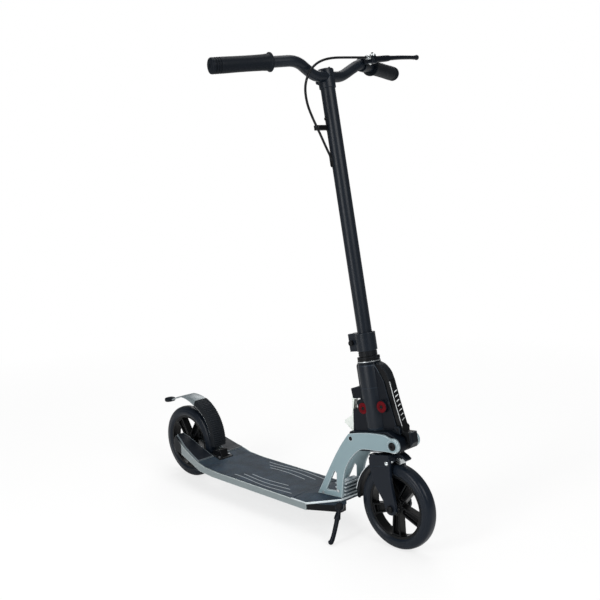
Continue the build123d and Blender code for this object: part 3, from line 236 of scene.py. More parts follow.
def zincSteel():
    # zinc-plated turned steel: small screws and bearings, bright but not mirror
    material, tree, shader = newMaterial("zinc-plated steel", {"Metallic": 1.0})
    mottled(tree, shader, "#c9ccce", "#a9adb0", 12, 0.24, 0.36)
    relief(tree, shader, noiseAt(tree, 0.4).outputs["Fac"], 0.01, 0.25)
    return material


def brushedAluminium():
    # turned aluminium trim: light rings of the cutter, clear highlight
    material, tree, shader = newMaterial("turned aluminium", {"Metallic": 1.0})
    mottled(tree, shader, "#d8dcdd", "#bfc5c7", 15, 0.18, 0.30)
    relief(tree, shader, noiseAt(tree, 0.5, 2.0, (1, 0.1, 1)).outputs["Fac"], 0.01, 0.4)
    return material


def redAnodised():
    # turned caps dyed crimson in the anodising bath
    material, tree, shader = newMaterial("crimson anodised aluminium",
                                         {"Metallic": 0.35, "Specular IOR Level": 0.1})
    mottled(tree, shader, "#650510", "#48030a", 8, 0.38, 0.48)
    relief(tree, shader, noiseAt(tree, 0.6).outputs["Fac"], 0.02, 0.4)
    return material


def milkPolycarbonate():
    # milky moulded polycarbonate: lets light in, so its edges look pale and soft
    material, tree, shader = newMaterial(
        "milky polycarbonate",
        {"Subsurface Weight": 0.4, "Subsurface Radius": (0.004, 0.004, 0.004), "IOR": 1.58})
    mottled(tree, shader, "#eef3ee", "#dde5df", 20, 0.25, 0.35)
    relief(tree, shader, noiseAt(tree, 1.5).outputs["Fac"], 0.02, 0.8)
    return material


def printedLine(name, light, dark):
    # thin screen-printed ink on the grip sheet and the cover, flat and pale
    material, tree, shader = newMaterial(name)
    mottled(tree, shader, light, dark, 6, 0.5, 0.6)
    relief(tree, shader, noiseAt(tree, 0.5).outputs["Fac"], 0.01, 0.1)
    return material


# the fifth value of each powder coat is the colour of its painted edge highlight
tubeCoat = satinPowderCoat("satin charcoal powder coat", "#0d1620", "#0a1119", 0.34, "#2f3b48", 0.24)
castCoat = satinPowderCoat("satin black powder coat", "#0c121a", "#090d13", 0.30, "#525e6a", 0.12)
forkCoat = satinPowderCoat("satin graphite powder coat", "#131a24", "#0e141c", 0.34, "#38424d", 0.15)
deckSilver = silverAnodised()
plateSilver = plateLacquer("silver lacquered plate", "#83999f", "#788e95")
# the tie between the plates is a darker grey than the plates: painted shade of the space between them; its
# ribs share it
tieShadeSilver = plateLacquer("grey lacquered casting", "#728088", "#66737a")
guardSilver = plateLacquer("grey lacquered mudguard", "#747e81", "#666f73")
gritTop = gritSheet()
# for the nylons, the colour after the roughness is the painted edge highlight, then its strength and reach
blackNylon = mouldedNylon("moulded black nylon", "#090b0e", "#060709", 0.36)
padNylon = mouldedNylon("grained grey nylon", "#161b22", "#11151b", 0.42, "#8c979d", 0.7, 2.2)
coreNylon = mouldedNylon("moulded wheel nylon", "#0c0d0f", "#070809", 0.28)
footNylon = mouldedNylon("coarse black nylon", "#12171c", "#0c1014", 0.5, "#2c353e", 0.3)
matNylon = mouldedNylon("bead-blasted black nylon", "#0d1217", "#090d12", 0.62)
darkSteel = mouldedNylon("black oxide steel", "#101114", "#0a0b0d", 0.3, "#101114", 0.0)
tyreRubber = castPolyurethane()
handRubber = gripRubber()
zinc = zincSteel()
turned = brushedAluminium()
crimson = redAnodised()
milk = milkPolycarbonate()
# pale trim for the neck lip, also the colour of the painted highlight strip on the front mudguard
lipAndHighlightSilver = plateLacquer("pale anodised trim", "#c9d2d6", "#bcc6ca")
ink = printedLine("screen-printed white ink", "#eef1f2", "#dfe3e5")
paleInk = printedLine("screen-printed grey ink", "#8f989e", "#7f888e")
sheath = mouldedNylon("extruded cable sheath", "#131518", "#0c0d0f", 0.32)
print("materials made:", len(bpy.data.materials))

finishes = {
    "deck_silver": deckSilver, "plate_silver": plateSilver, "grip_grey": gritTop, "black_paint": castCoat,
    "black_plastic": blackNylon, "grip_rubber": handRubber, "tyre_pu": tyreRubber, "core_black": coreNylon,
    "steel": zinc, "bright": turned, "red": crimson, "pale_plastic": milk, "cable_black": sheath,
}
slotOf = {row["node"]: row["material_slot"] for row in frame["record"]["subparts"]}


def coat(node, material):
    mesh = nodes[node].data
    mesh.materials.clear()
    mesh.materials.append(material)


for nodeName, slotName in slotOf.items():
    coat(nodeName, finishes[slotName])
darkFasteners = ("clamp_bolt", "head_pins", "hinge_bolt", "stand_pin", "stem_bolts", "front_axle",
                 "rear_axle")
for nodeNames, material in ((("tbar_tube", "handlebar", "steerer_tube"), tubeCoat),
                            (("rear_pad_left", "rear_pad_right"), padNylon), (darkFasteners, darkSteel)):
    for nodeName in nodeNames:
        coat(nodeName, material)


# ---- mesh building
def sideWord(side):
    return "Left" if side > 0 else "Right"


def along(line, x):
    # the value at x on a line of x and value pairs, whose x falls
    for (x0, v0), (x1, v1) in zip(line, line[1:]):
        if x >= x1:
            return v0 + (v1 - v0) * (x - x0) / (x1 - x0)
    return line[-1][1]


def addPiece(name, mesh, material, body, matrix=None, replaced=(), sharp=35):
    piece = bpy.data.objects.new(name, mesh)
    bpy.context.scene.collection.objects.link(piece)
    if matrix is not None:
        piece.matrix_world = matrix
    mesh.materials.clear()
    mesh.materials.append(material)
    mesh.shade_smooth()
    mesh.set_sharp_from_angle(angle=math.radians(sharp))
    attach(piece, body)
    if replaced:
        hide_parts(*replaced)
    return piece


def loftMesh(name, sections, capped=True, looped=False):
    # skin over closed rows of points in millimetres; looped joins the last row to the first
    rows, columns = len(sections), len(sections[0])
    points = [Vector(p) * mm for section in sections for p in section]
    faces = []
    for i in range(rows if looped else rows - 1):
        for j in range(columns):
            nextRow, nextColumn = (i + 1) % rows, (j + 1) % columns
            faces.append((i * columns + j, i * columns + nextColumn,
                          nextRow * columns + nextColumn, nextRow * columns + j))
    if capped and not looped:
        faces.append(tuple(range(columns))[::-1])
        faces.append(tuple((rows - 1) * columns + j for j in range(columns)))
    mesh = bpy.data.meshes.new(name)
    mesh.from_pydata(points, [], faces)
    shape = bmesh.new()
    shape.from_mesh(mesh)
    bmesh.ops.remove_doubles(shape, verts=shape.verts, dist=1e-6)
    bmesh.ops.recalc_face_normals(shape, faces=shape.faces)
    shape.to_mesh(mesh)
    shape.free()
    return mesh


def turnedMesh(name, profile, steps=64, looped=False, ripple=None):
    # profile of radius and height, spun round the local z axis; ripple changes the radius with the angle
    sections = []
    for radius, height in profile:
        row = []
        for j in range(steps):
            angle = 2 * math.pi * j / steps
            r = ripple(radius, height, angle) if ripple else radius
            row.append((r * math.cos(angle), r * math.sin(angle), height))
        sections.append(row)
    return loftMesh(name, sections, capped=not looped, looped=looped)


def smoothPath(points, perSpan=8):
    # a curve through the points, of any number of values each
    first = [2 * a - b for a, b in zip(points[0], points[1])]
    last = [2 * a - b for a, b in zip(points[-1], points[-2])]
    padded = [first] + [list(p) for p in points] + [last]
    path = []
    for p0, p1, p2, p3 in zip(padded, padded[1:], padded[2:], padded[3:]):
        for k in range(perSpan):
            t = k / perSpan
            path.append([0.5 * (2 * b + (c - a) * t + (2 * a - 5 * b + 4 * c - d) * t * t
                                + (3 * b - a - 3 * c + d) * t ** 3) for a, b, c, d in zip(p0, p1, p2, p3)])
    path.append(list(points[-1]))
    return path


def barMesh(name, stations, upward, squareness=2.5, count=24, perSpan=8):
    # a bar through stations of x, y, z, width and height, with a rounded section
    path = smoothPath(stations, perSpan)
    centres = [Vector(p[:3]) for p in path]
    sections = []
    for i, station in enumerate(path):
        heading = (centres[min(i + 1, len(path) - 1)] - centres[max(i - 1, 0)]).normalized()
        across = heading.cross(Vector(upward)).normalized()
        up = across.cross(heading)
        row = []
        for j in range(count):
            angle = 2 * math.pi * j / count
            c, s = math.cos(angle), math.sin(angle)
            u = math.copysign(abs(c) ** (2 / squareness), c) * station[3] / 2
            v = math.copysign(abs(s) ** (2 / squareness), s) * station[4] / 2
            row.append(centres[i] + across * u + up * v)
        sections.append(row)
    return loftMesh(name, sections)


def axisFrame(centre, direction):
    # local z along direction, for turned pieces
    return Matrix.Translation(centre) @ Vector(direction).to_track_quat("Z", "Y").to_matrix().to_4x4()


def addSkin(node, mesh, material, sharp):
    # stands in for a CAD solid; its normals lean to the large faces, so flats stay flat
    made = addPiece(node + "Skin", mesh, material, nodes[node]["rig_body"], replaced=(node,),
                    sharp=sharp)
    weighted = made.modifiers.new("weighted", "WEIGHTED_NORMAL")
    weighted.mode = "FACE_AREA"
    return weighted


def bevelledCopy(node, widthMm, material):
    # a flat plate again, with its outline and its openings broken by a small chamfer, brightened by the
    # material's painted edge highlight
    mesh = nodes[node].data.copy()
    shape = bmesh.new()
    shape.from_mesh(mesh)
    bmesh.ops.remove_doubles(shape, verts=shape.verts, dist=1e-6)
    bmesh.ops.dissolve_limit(shape, angle_limit=math.radians(0.5), verts=shape.verts, edges=shape.edges)
    corner = math.radians(50)
    rims = [edge for edge in shape.edges if len(edge.link_faces) == 2 and edge.calc_face_angle() > corner]
    bmesh.ops.bevel(shape, geom=rims, offset=widthMm * mm, segments=3, profile=0.6, affect="EDGES",
                    clamp_overlap=False)
    shape.to_mesh(mesh)
    shape.free()
    addSkin(node, mesh, material, 60).keep_sharp = True


def softCopy(node, voxelMm, passes, material):
    # the CAD solid again, with every edge rolled as on a casting or moulding
    piece = bpy.data.objects.new(node + "Skin", nodes[node].data.copy())
    bpy.context.scene.collection.objects.link(piece)
    remesh = piece.modifiers.new("remesh", "REMESH")
    remesh.mode = "VOXEL"
    remesh.voxel_size = voxelMm * mm
    smooth = piece.modifiers.new("smooth", "SMOOTH")
    smooth.factor = 0.5
    smooth.iterations = passes
    flat = piece.modifiers.new("flat", "DECIMATE")
    flat.decimate_type = "DISSOLVE"
    flat.angle_limit = math.radians(1.5)
    bpy.context.view_layer.update()
    mesh = bpy.data.meshes.new_from_object(piece.evaluated_get(bpy.context.evaluated_depsgraph_get()))
    bpy.data.objects.remove(piece)
    addSkin(node, mesh, material, 180).weight = 80


# ---- screws
def capScrew(name, centre, direction, radius, height, material, body, slotName, replaced=()):
    # button head with a hexagon socket; the socket's ring follows the hexagon
    socket = radius * 0.52

    def ripple(r, z, angle):
        if r > socket:
            return r
        turn = (angle + math.pi / 6) % (math.pi / 3) - math.pi / 6
        return r * 0.9 / math.cos(turn)

    profile = [(radius, 0), (radius, height * 0.45), (radius * 0.9, height * 0.8),
               (radius * 0.7, height * 0.97), (radius * 0.58, height), (socket, height * 0.98),
               (socket, height * 0.25), (0, height * 0.2)]
    mesh = turnedMesh(name, profile, 48, ripple=ripple)
    return addPiece(name, mesh, material, body, axisFrame(centre, direction), replaced, 40)


def inColumn(f, y, s):
    return columnFrame @ (Vector((f, y, s)) * mm)


# ---- wheels
tyreSizes = {"bed": 67.2, "radius": 89.9, "half": 14.5, "shoulder": 9.5, "crown": 0.8, "step": 0.5,
             "stepRadius": 79.2}


def tyreProfile():
    # half of the section from the bed outwards, then the other half mirrored
    t = tyreSizes
    step, face = t["stepRadius"], t["half"]
    half = [(t["bed"], face - 2.6), (t["bed"] + 2.4, face - 1.0), (t["bed"] + 4.2, face - 0.1),
            (t["bed"] + 5.0, face), (step, face), (step + 0.6, face - t["step"]),
            (step + 1.4, face - t["step"])]
    for k in range(1, 9):
        angle = math.radians(90 * k / 8)
        half.append((t["radius"] - t["crown"] - t["shoulder"] + 0.2 + t["shoulder"] * math.sin(angle),
                     face - t["step"] - t["shoulder"] * (1 - math.cos(angle))))
    half.append((t["radius"], 0))
    return half + [(r, -y) for r, y in half[-2::-1]]


def makeTyre(place, axle):
    mesh = turnedMesh(place + "TyreBody", tyreProfile(), 144, looped=True)
    addPiece(place + "TyreBody", mesh, tyreRubber, place + "_wheel", axisFrame(axle, (0, 1, 0)),
             (place + "_tyre",), 50)


for place, axle in (("front", frontAxle), ("rear", rearAxle)):
    makeTyre(place, axle)
    softCopy(place + "_wheel_core", 0.8, 3, coreNylon)
print("wheels made")


# ---- side plates, head and fork
softSkins = {
    # node: voxel size in mm, smoothing passes, material
    "plate_tie": (0.8, 2, tieShadeSilver), "head_casting": (0.9, 4, castCoat), "kick_pedal": (0.6, 3, blackNylon),
    "pedal_nose": (0.5, 3, castCoat), "release_lever": (0.5, 3, milk), "fork": (0.9, 4, forkCoat),
    "clamp_collar": (0.7, 3, tubeCoat), "front_cap": (0.9, 3, blackNylon),
    "brake_bracket": (0.6, 3, castCoat), "brake_shoe": (0.5, 2, turned), "stem_lower": (0.6, 3, tubeCoat),
    "stem_upper": (0.6, 3, tubeCoat), "brake_clamp": (0.5, 3, castCoat), "fender_base": (0.6, 3, blackNylon),
    "cable_hook": (0.4, 3, blackNylon), "quick_release_lever": (0.5, 3, castCoat),
}
plateChamfer = 0.8
for nodeName, (voxel, passes, material) in softSkins.items():
    softCopy(nodeName, voxel, passes, material)
for nodeName in ("side_plate_left", "side_plate_right"):
    bevelledCopy(nodeName, plateChamfer, plateSilver)
print("rounded skins made:", len(softSkins) + 2)

# ---- fasteners that show: a head is a radius and a height, a place in the column is forward, left and along
boltSizes = {"hingeHead": (8.4, 2.6), "hingeSink": 2.0, "lockHead": (4.4, 0.8),
             "lockPlace": (-112.8, 33.6, -6.7), "axleHead": (7.2, 1.6), "axleSink": 0.5}
boltLow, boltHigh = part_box("hinge_bolt")
hingePoint = Vector(joints["fold"]["pos_m"])
lockX, lockY, lockZ = boltSizes["lockPlace"]
lockPoint = hingePoint + Vector((lockX, 0, lockZ)) * mm
for side, reach in ((-1, boltLow.y), (1, boltHigh.y)):
    face = Vector((hingePoint.x, reach - side * boltSizes["hingeSink"] * mm, hingePoint.z))
    capScrew("hingeHead" + sideWord(side), face, (0, side, 0), *boltSizes["hingeHead"], darkSteel, "deck",
             "steel")
for side in (-1, 1):
    capScrew("lockHead" + sideWord(side), lockPoint + Vector((0, side * lockY * mm, 0)), (0, side, 0),
             *boltSizes["lockHead"], darkSteel, "deck", "steel")
for place, axle, body in (("front", frontAxle, "fork"), ("rear", rearAxle, "deck")):
    low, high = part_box(place + "_axle")
    for side, reach in ((-1, low.y), (1, high.y)):
        face = Vector((axle.x, reach - side * boltSizes["axleSink"] * mm, axle.z))
        capScrew(place + "AxleHead" + sideWord(side), face, (0, side, 0), *boltSizes["axleHead"], darkSteel,
                 body, "steel")

capSizes = {"radius": 11.8, "height": 1.9, "dish": 5.0, "screw": 3.6, "screwHeight": 1.0}
capPlaces = {"Rear": (-15.0, 22.5, 294.0), "Front": (34.0, 21.0, 297.0)}
for capName, (f, y, s) in capPlaces.items():
    for side in (-1, 1):
        r, h, dish = capSizes["radius"], capSizes["height"], capSizes["dish"]
        profile = [(r, 0), (r, h - 0.9), (r - 0.6, h - 0.2), (dish + 0.8, h), (dish, h - 0.8), (0, h - 0.8)]
        centre = inColumn(f, side * y, s)
        addPiece("cap" + capName + sideWord(side), turnedMesh("cap", profile, 64), crimson,
                                 "head", axisFrame(centre, (0, side, 0)))
        capScrew("capScrew" + capName + sideWord(side), centre + Vector((0, side * (h - 0.8) * mm, 0)),
                 (0, side, 0), capSizes["screw"], capSizes["screwHeight"], darkSteel, "head", "steel")
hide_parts("red_bolt_caps")

crownSizes = {"bolt": (30.0, 27.0, 182.5), "boltHead": (4.6, 2.6), "stop": (37.9, 19.0, 184.0),
              "stopHead": (2.6, 1.6), "seamAlong": 175.5, "seamRise": 0.02, "seamFrom": (-15, 5, 25),
              "seamWidth": 1.1, "seamHeight": 1.0}


def makeCrown():
    # a seam across the top of each fork leg, then the bolts of the crown and its two small stops
    c = crownSizes
    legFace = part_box("fork")[0].y / mm
    for side in (-1, 1):
        line = [(f, side * -legFace, c["seamAlong"] + c["seamRise"] * f, c["seamWidth"], c["seamHeight"])
                for f in c["seamFrom"]]
        seam = barMesh("crownSeam", line, (0, 1, 0), 0.8, 6, 1)
        addPiece("crownSeam" + sideWord(side), seam, tubeCoat, "fork", columnFrame, sharp=60)
    for side in (-1, 1):
        (f, y, s), (stopF, stopY, stopS) = c["bolt"], c["stop"]
        capScrew("crownBolt" + sideWord(side), inColumn(f, side * y, s), (0, side, 0),
                              *c["boltHead"], turned, "fork", "bright")
        capScrew("crownStop" + sideWord(side), inColumn(stopF, side * stopY, stopS), forward, *c["stopHead"],
                 turned, "fork", "steel")
    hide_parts("crown_bolts")


makeCrown()

headSizes = {"inner": 23.6, "radius": 25.0, "bottom": 248.0, "top": 382.6, "seam": 335.0,
             "button": (-4.6, -14.0, 885.5), "buttonHead": (3.4, 3.0), "buttonOut": (-0.32, -0.95)}


def makeHeadTube():
    # the head tube shows as a round body between the webs, with a joint line; the snap button is higher up
    h = headSizes
    inner, r, bottom, top = h["inner"], h["radius"], h["bottom"], h["top"]
    profile = [(inner, bottom), (inner + 1.0, bottom + 2.0), (r, bottom + 6.0), (r, top - 3.6),
               (inner + 0.8, top - 0.6), (inner, top)]
    addPiece("headTube", turnedMesh("headTube", profile, 96, looped=True), tubeCoat, "head",
             columnFrame, sharp=40)
    profile = [(r - 0.4, -0.8), (r + 0.4, -0.3), (r + 0.4, 0.3), (r - 0.4, 0.8)]
    addPiece("headSeam", turnedMesh("seam", profile, 96, looped=True), tubeCoat, "head",
             axisFrame(inColumn(0, 0, h["seam"]), alongColumn))
    outForward, outLeft = h["buttonOut"]
    out = (forward * outForward + sideways * outLeft).normalized()
    capScrew("snapButton", inColumn(*h["button"]), out, *h["buttonHead"], darkSteel, "tbar", "steel")


makeHeadTube()
print("fasteners made")

# ---- cover of the kick step: coarse pad on its top, printed line and dashes down its front
# face holds pairs of height and how far forward the cover is there; pad holds forward, height and width
coverSizes = {"face": ((347.5, 53.8), (308.6, 59.4), (274.0, 65.8), (250.0, 70.6)),
              "lift": 0.12, "sink": 0.2, "lineY": -8.4, "lineWidth": 1.4,
              "lineAt": (346, 330, 308.6, 290, 274, 262, 252),
              "dashes": 7, "dashStart": 266.0, "dashPitch": 9.5, "dashLength": 9.0, "dashWidth": 2.2,
              "dashRise": 3.0, "dashY": 1.5, "padThickness": 2.0,
              "pad": ((26, 384.2, 18), (38, 377.2, 18), (48.2, 364.4, 18), (53.4, 349.5, 17))}


def inkStrip(name, places, half, material, body, across=(0, 1, 0), out=(1, 0, 0), matrix=None):
    # a thin raised ribbon through the places
    across, out = Vector(across) * half, Vector(out)
    under, over = out * coverSizes["sink"], out * coverSizes["lift"]
    sections = []
    for place in map(Vector, places):
        sections.append([place - across - under, place + across - under, place + across + over,
                         place - across + over])
    return addPiece(name, loftMesh(name, sections), material, body, matrix)


def makeCover():
    c = coverSizes
    line = [(along(c["face"], s), c["lineY"], s) for s in c["lineAt"]]
    inkStrip("coverLine", line, c["lineWidth"] / 2, ink, "pedal", matrix=columnFrame)
    for k in range(c["dashes"]):
        low = c["dashStart"] + c["dashPitch"] * k
        high, half = low + c["dashRise"], c["dashLength"] / 2
        ends = [(along(c["face"], low), c["dashY"] - half, low),
                (along(c["face"], high), c["dashY"] + half, high)]
        inkStrip("coverDash" + str(k), ends, c["dashWidth"] / 2, ink, "pedal",
                 across=(0, 0, 1), matrix=columnFrame)
    places = [(f, 0, s, width, c["padThickness"]) for f, s, width in c["pad"]]
    addPiece("coverPad", barMesh("pad", places, (1, 0, 0.6), 6), footNylon, "pedal",
             columnFrame, sharp=60)


makeCover()
print("kick step made")

# ---- handlebar grips
gripSizes = {"length": 126.0, "radius": 15.6, "bore": 11.2, "flange": 18.8, "grooves": (8, 13, 18),
             "grooveDepth": 1.3, "endHole": 4.2, "innerPlace": (13.0, 92.0, 996.0),
             "outerPlace": (-41.0, 265.0, 993.0)}


def gripProfile():
    # from the flange at the inner end out to the closed end
    g = gripSizes
    r, flange, length, hole = g["radius"], g["flange"], g["length"], g["endHole"]
    profile = [(g["bore"], 0), (flange - 1, 0), (flange, 1.0), (flange, 3.2), (flange - 1.2, 4.4),
               (r + 1.2, 5.0), (r + 0.7, 7.0), (r + 0.4, 10.0)]
    for k in range(1, 12):
        profile.append((r - 0.5 * math.sin(math.pi * k / 11), 10 + (length - 36) * k / 11))
    for z in g["grooves"][::-1]:
        end, floor = length - z, r - g["grooveDepth"]
        profile += [(r, end - 1.6), (floor, end - 1.0), (floor, end + 1.0), (r, end + 1.6)]
    profile += [(r, length - 3), (r - 0.8, length - 1.0), (r - 2.4, length - 0.1), (hole, length - 0.1),
                (hole - 0.4, length - 1.6), (0, length - 1.6)]
    return profile


for side, gripName in ((1, "left"), (-1, "right")):
    start, end = (inColumn(f, side * y, s) for f, y, s in (gripSizes["innerPlace"], gripSizes["outerPlace"]))
    direction = (end - start).normalized()
    base = end - direction * gripSizes["length"] * mm
    mesh = turnedMesh("grip", gripProfile(), 72)
    addPiece(gripName + "Grip", mesh, handRubber, "tbar", axisFrame(base, direction),
             ("grip_" + gripName,), 40)
print("grips made")

# ---- hand brake lever and cable
leverSizes = {"pivot": (32.0, 116.0, 1001.0), "tilt": 3.5, "tip": (36.0, 257.0), "ball": 5.6,
              "headRise": 7.2, "head": (7.0, 4.0), "studRise": 11.2, "stud": (2.6, 3.4),
              "screwPlace": (30.5, 106.0, 994.0), "screw": (4.6, 3.4)}
# places of the blade measured in the column frame before the tilt: forward, left, along, width, height
leverStations = [(31.5, 112, 1001, 12, 9), (31.8, 120, 1001, 12.5, 12.5), (34, 140, 1001, 12, 13.2),
                 (37.2, 157, 1001, 11, 12.6), (38.6, 165, 1001, 10, 9.6), (40.5, 190, 1001, 9.4, 8.6),
                 (39, 220, 1001, 9, 8.2), (36.8, 242, 1001, 9, 8), (36, 250, 1001, 9.6, 9)]
leverPivot = Matrix.Translation(Vector(leverSizes["pivot"]) * mm)
leverTurn = Matrix.Rotation(math.radians(leverSizes["tilt"]), 4, "X")
leverFrame = columnFrame @ leverPivot @ leverTurn @ leverPivot.inverted()


def abovePivot(rise):
    return leverFrame @ ((Vector(leverSizes["pivot"]) + Vector((0, 0, rise))) * mm)


def makeLever():
    lever = leverSizes
    addPiece("leverBlade", barMesh("blade", leverStations, (0, 0, 1), 2.6), castCoat, "brake_lever",
             leverFrame, ("brake_lever",), 60)
    angles = [math.pi * k / 16 for k in range(17)]
    profile = [(lever["ball"] * math.sin(a), -lever["ball"] * math.cos(a)) for a in angles]
    tip = Matrix.Translation(Vector((*lever["tip"], lever["pivot"][2])) * mm)
    addPiece("leverBall", turnedMesh("ball", profile, 32), castCoat, "brake_lever",
             leverFrame @ tip)
    capScrew("leverPivotHead", abovePivot(lever["headRise"]), alongColumn, *lever["head"], turned, "tbar",
             "bright")
    capScrew("leverStud", abovePivot(lever["studRise"]), alongColumn, *lever["stud"], darkSteel, "tbar",
             "steel")
    capScrew("leverClampScrew", inColumn(*lever["screwPlace"]), forward, *lever["screw"], turned, "tbar",
             "bright")


# the cable runs from the adjuster over the bar and down to the slit in the tube, in the column frame
cableSizes = {"radius": 2.5,
              "route": ((36, 96, 1003), (33, 44, 1002), (30, -21, 999.5), (26, -62, 984), (19, -84, 951),
                        (8, -76, 916), (-3, -53, 885), (-6, -36, 856), (-6, -22, 822), (-5, -8, 790))}


def makeCable():
    route = cableSizes["route"]
    curve = bpy.data.curves.new("brakeCable", "CURVE")
    curve.dimensions = "3D"
    curve.bevel_depth = cableSizes["radius"] * mm
    curve.bevel_resolution = 6
    curve.resolution_u = 16
    curve.use_fill_caps = True
    spline = curve.splines.new("NURBS")
    spline.points.add(len(route) - 1)
    for point, place in zip(spline.points, route):
        point.co = (*inColumn(*place), 1)
    spline.order_u = 3
    spline.use_endpoint_u = True
    curve.materials.append(sheath)
    cable = bpy.data.objects.new("brakeCable", curve)
    bpy.context.scene.collection.objects.link(cable)
    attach(cable, "tbar")
    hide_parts("brake_cable")


hookSizes = {"arm": ((-13, 13, 8), (-22, 9, 6), (-30, 7, 4.6), (-36, 7, 4.6)), "f": -6, "along": 868,
             "loopPlace": (-5.2, -41.5, 868), "loopRadius": 4.3, "loopWall": 1.7, "loopHalf": 3.0}


def makeHook():
    # an arm on the tube with a loop that the cable passes through
    h = hookSizes
    places = [(h["f"], y, h["along"], width, height) for y, width, height in h["arm"]]
    addPiece("hookArm", barMesh("hookArm", places, (1, 0, 0), 2.8), blackNylon, "tbar",
             columnFrame, ("cable_hook",), 60)
    angles = [math.pi * k / 6 for k in range(12)]
    profile = [(h["loopRadius"] + h["loopWall"] * math.cos(a), h["loopHalf"] * math.sin(a)) for a in angles]
    above, below = (inColumn(*place) for place in cableSizes["route"][6:8])
    addPiece("hookLoop", turnedMesh("hookLoop", profile, 40, looped=True), blackNylon, "tbar",
             axisFrame(inColumn(*h["loopPlace"]), (below - above).normalized()))


makeLever()
makeCable()
makeHook()
print("hand brake made")

# ---- rear mudguard that is the foot brake
fenderSizes = {"shiftX": 8.0, "shiftZ": 18.0, "radius": 103.0, "half": 18.7, "cheek": 14.0, "endCheek": 3.6,
               "wall": 2.8, "start": -4.0, "end": 96.0, "ribbedEnd": 70.0, "ribPitch": 5.0, "ribHeight": 1.3,
               "ribFloor": 0.35, "ribWall": 1.2, "tailOut": (-0.22, 0, 0.975),
               "neckInPad": 22.0, "neckRise": 0.5}
# the tail behind the mudguard: share of the way to the pad, half width, rise
tailShape = ((0.16, 17.0, 0.6), (0.30, 13.0, 1.0), (0.42, 9.5, 1.2), (0.6, 7.0, 1.2), (0.8, 5.6, 0.8),
             (1.0, 5.0, 0))


def channelSection(centre, out, half, cheek, wall, corner=3.5):
    # an upside-down gutter: outside from one cheek over the top to the other, then back inside
    across = Vector((0, 1, 0))
    outer = [(-half, -cheek), (-half, -corner), (-half + 0.3 * corner, -0.3 * corner), (-half + corner, 0),
             (half - corner, 0), (half - 0.3 * corner, -0.3 * corner), (half, -corner), (half, -cheek)]
    inner = [(half - wall, -cheek), (half - wall, -corner), (half - corner, -wall), (-half + corner, -wall),
             (-half + wall, -corner), (-half + wall, -cheek)]
    return [centre + across * y + out * n for y, n in outer + inner]


def fenderStations():
    # centre line point, outward direction, half width and cheek depth, in millimetres
    f = fenderSizes
    hub = Vector((rearAxle.x / mm + f["shiftX"], 0, rearAxle.z / mm + f["shiftZ"]))
    rows = []
    steps = 40
    for k in range(steps + 1):
        angle = math.radians(f["start"] + (f["end"] - f["start"]) * k / steps)
        out = Vector((math.cos(angle), 0, math.sin(angle)))
        fade = min(1.0, k / 6, (steps - k) / 12 + 0.3)
        cheek = f["endCheek"] + (f["cheek"] - f["endCheek"]) * fade
        rows.append((hub + out * f["radius"], out, f["half"], cheek))
    return hub, rows


def makeFender():
    f = fenderSizes
    hub, rows = fenderStations()
    low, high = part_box("fender_tip")
    tail = rows[-1][0]
    neckEnd = Vector((low.x / mm + f["neckInPad"], 0, (low.z + high.z) / 2 / mm + f["neckRise"]))
    for share, half, rise in tailShape:
        place = tail.lerp(neckEnd, share) + Vector((0, 0, rise))
        rows.append((place, Vector(f["tailOut"]).normalized(), half, f["endCheek"]))
    sections = [channelSection(c, out, half, cheek, f["wall"]) for c, out, half, cheek in rows]
    addPiece("fenderShell", loftMesh("fenderShell", sections), guardSilver, "rear_brake",
             replaced=("rear_fender",), sharp=50)
    cover = []
    span = f["ribbedEnd"] - f["start"]
    steps = 4 * int(span * math.pi / 180 * f["radius"] / f["ribPitch"])
    for k in range(steps + 1):
        angle = math.radians(f["start"] - 1 + (span + 1) * k / steps)
        out = Vector((math.cos(angle), 0, math.sin(angle)))
        lift = f["ribHeight"] if k % 4 in (1, 2) else f["ribFloor"]
        cover.append(channelSection(hub + out * (f["radius"] + lift), out, f["half"] + 0.5, f["cheek"],
                                    f["ribWall"]))
    addPiece("fenderRibs", loftMesh("fenderRibs", cover), footNylon, "rear_brake", sharp=25)


# stations of the heel pad: from the back of the tip, rise, width, height
heelShape = ((27, 0.4, 14, 7), (24, 0, 18, 10.6), (16, -1.4, 19.5, 12.6), (8, -3.0, 19.5, 12.6),
             (3, -3.8, 18, 11), (0.6, -4.2, 14, 8))


def makeHeelPad():
    # thick rubber shoe pushed over the end of the tail
    low, high = (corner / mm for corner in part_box("fender_tip"))
    middle = (low.z + high.z) / 2
    stations = [(low.x + back, 0, middle + rise, width, height) for back, rise, width, height in heelShape]
    addPiece("heelPad", barMesh("heelPad", stations, (0, 0, 1), 3.4), handRubber, "rear_brake",
             replaced=("fender_tip",), sharp=60)


makeFender()
makeHeelPad()
print("foot brake made")


# ---- front mudguard
guardSizes = {"inner": 97.6, "wall": 2.8, "half": 18.4, "cheek": 7.0, "start": 112.0, "end": 172.0,
              "narrowing": 0.25, "highlightStart": 116.0, "highlightSpan": 44.0, "highlightWidth": 1.6}
strutStations = [(-18.5, 0, 195.5, 18, 3.8), (-20.3, 0, 188, 18, 3.8), (-19, 0, 181, 18, 3.8),
                 (-14, 0, 178.3, 18, 3.4)]


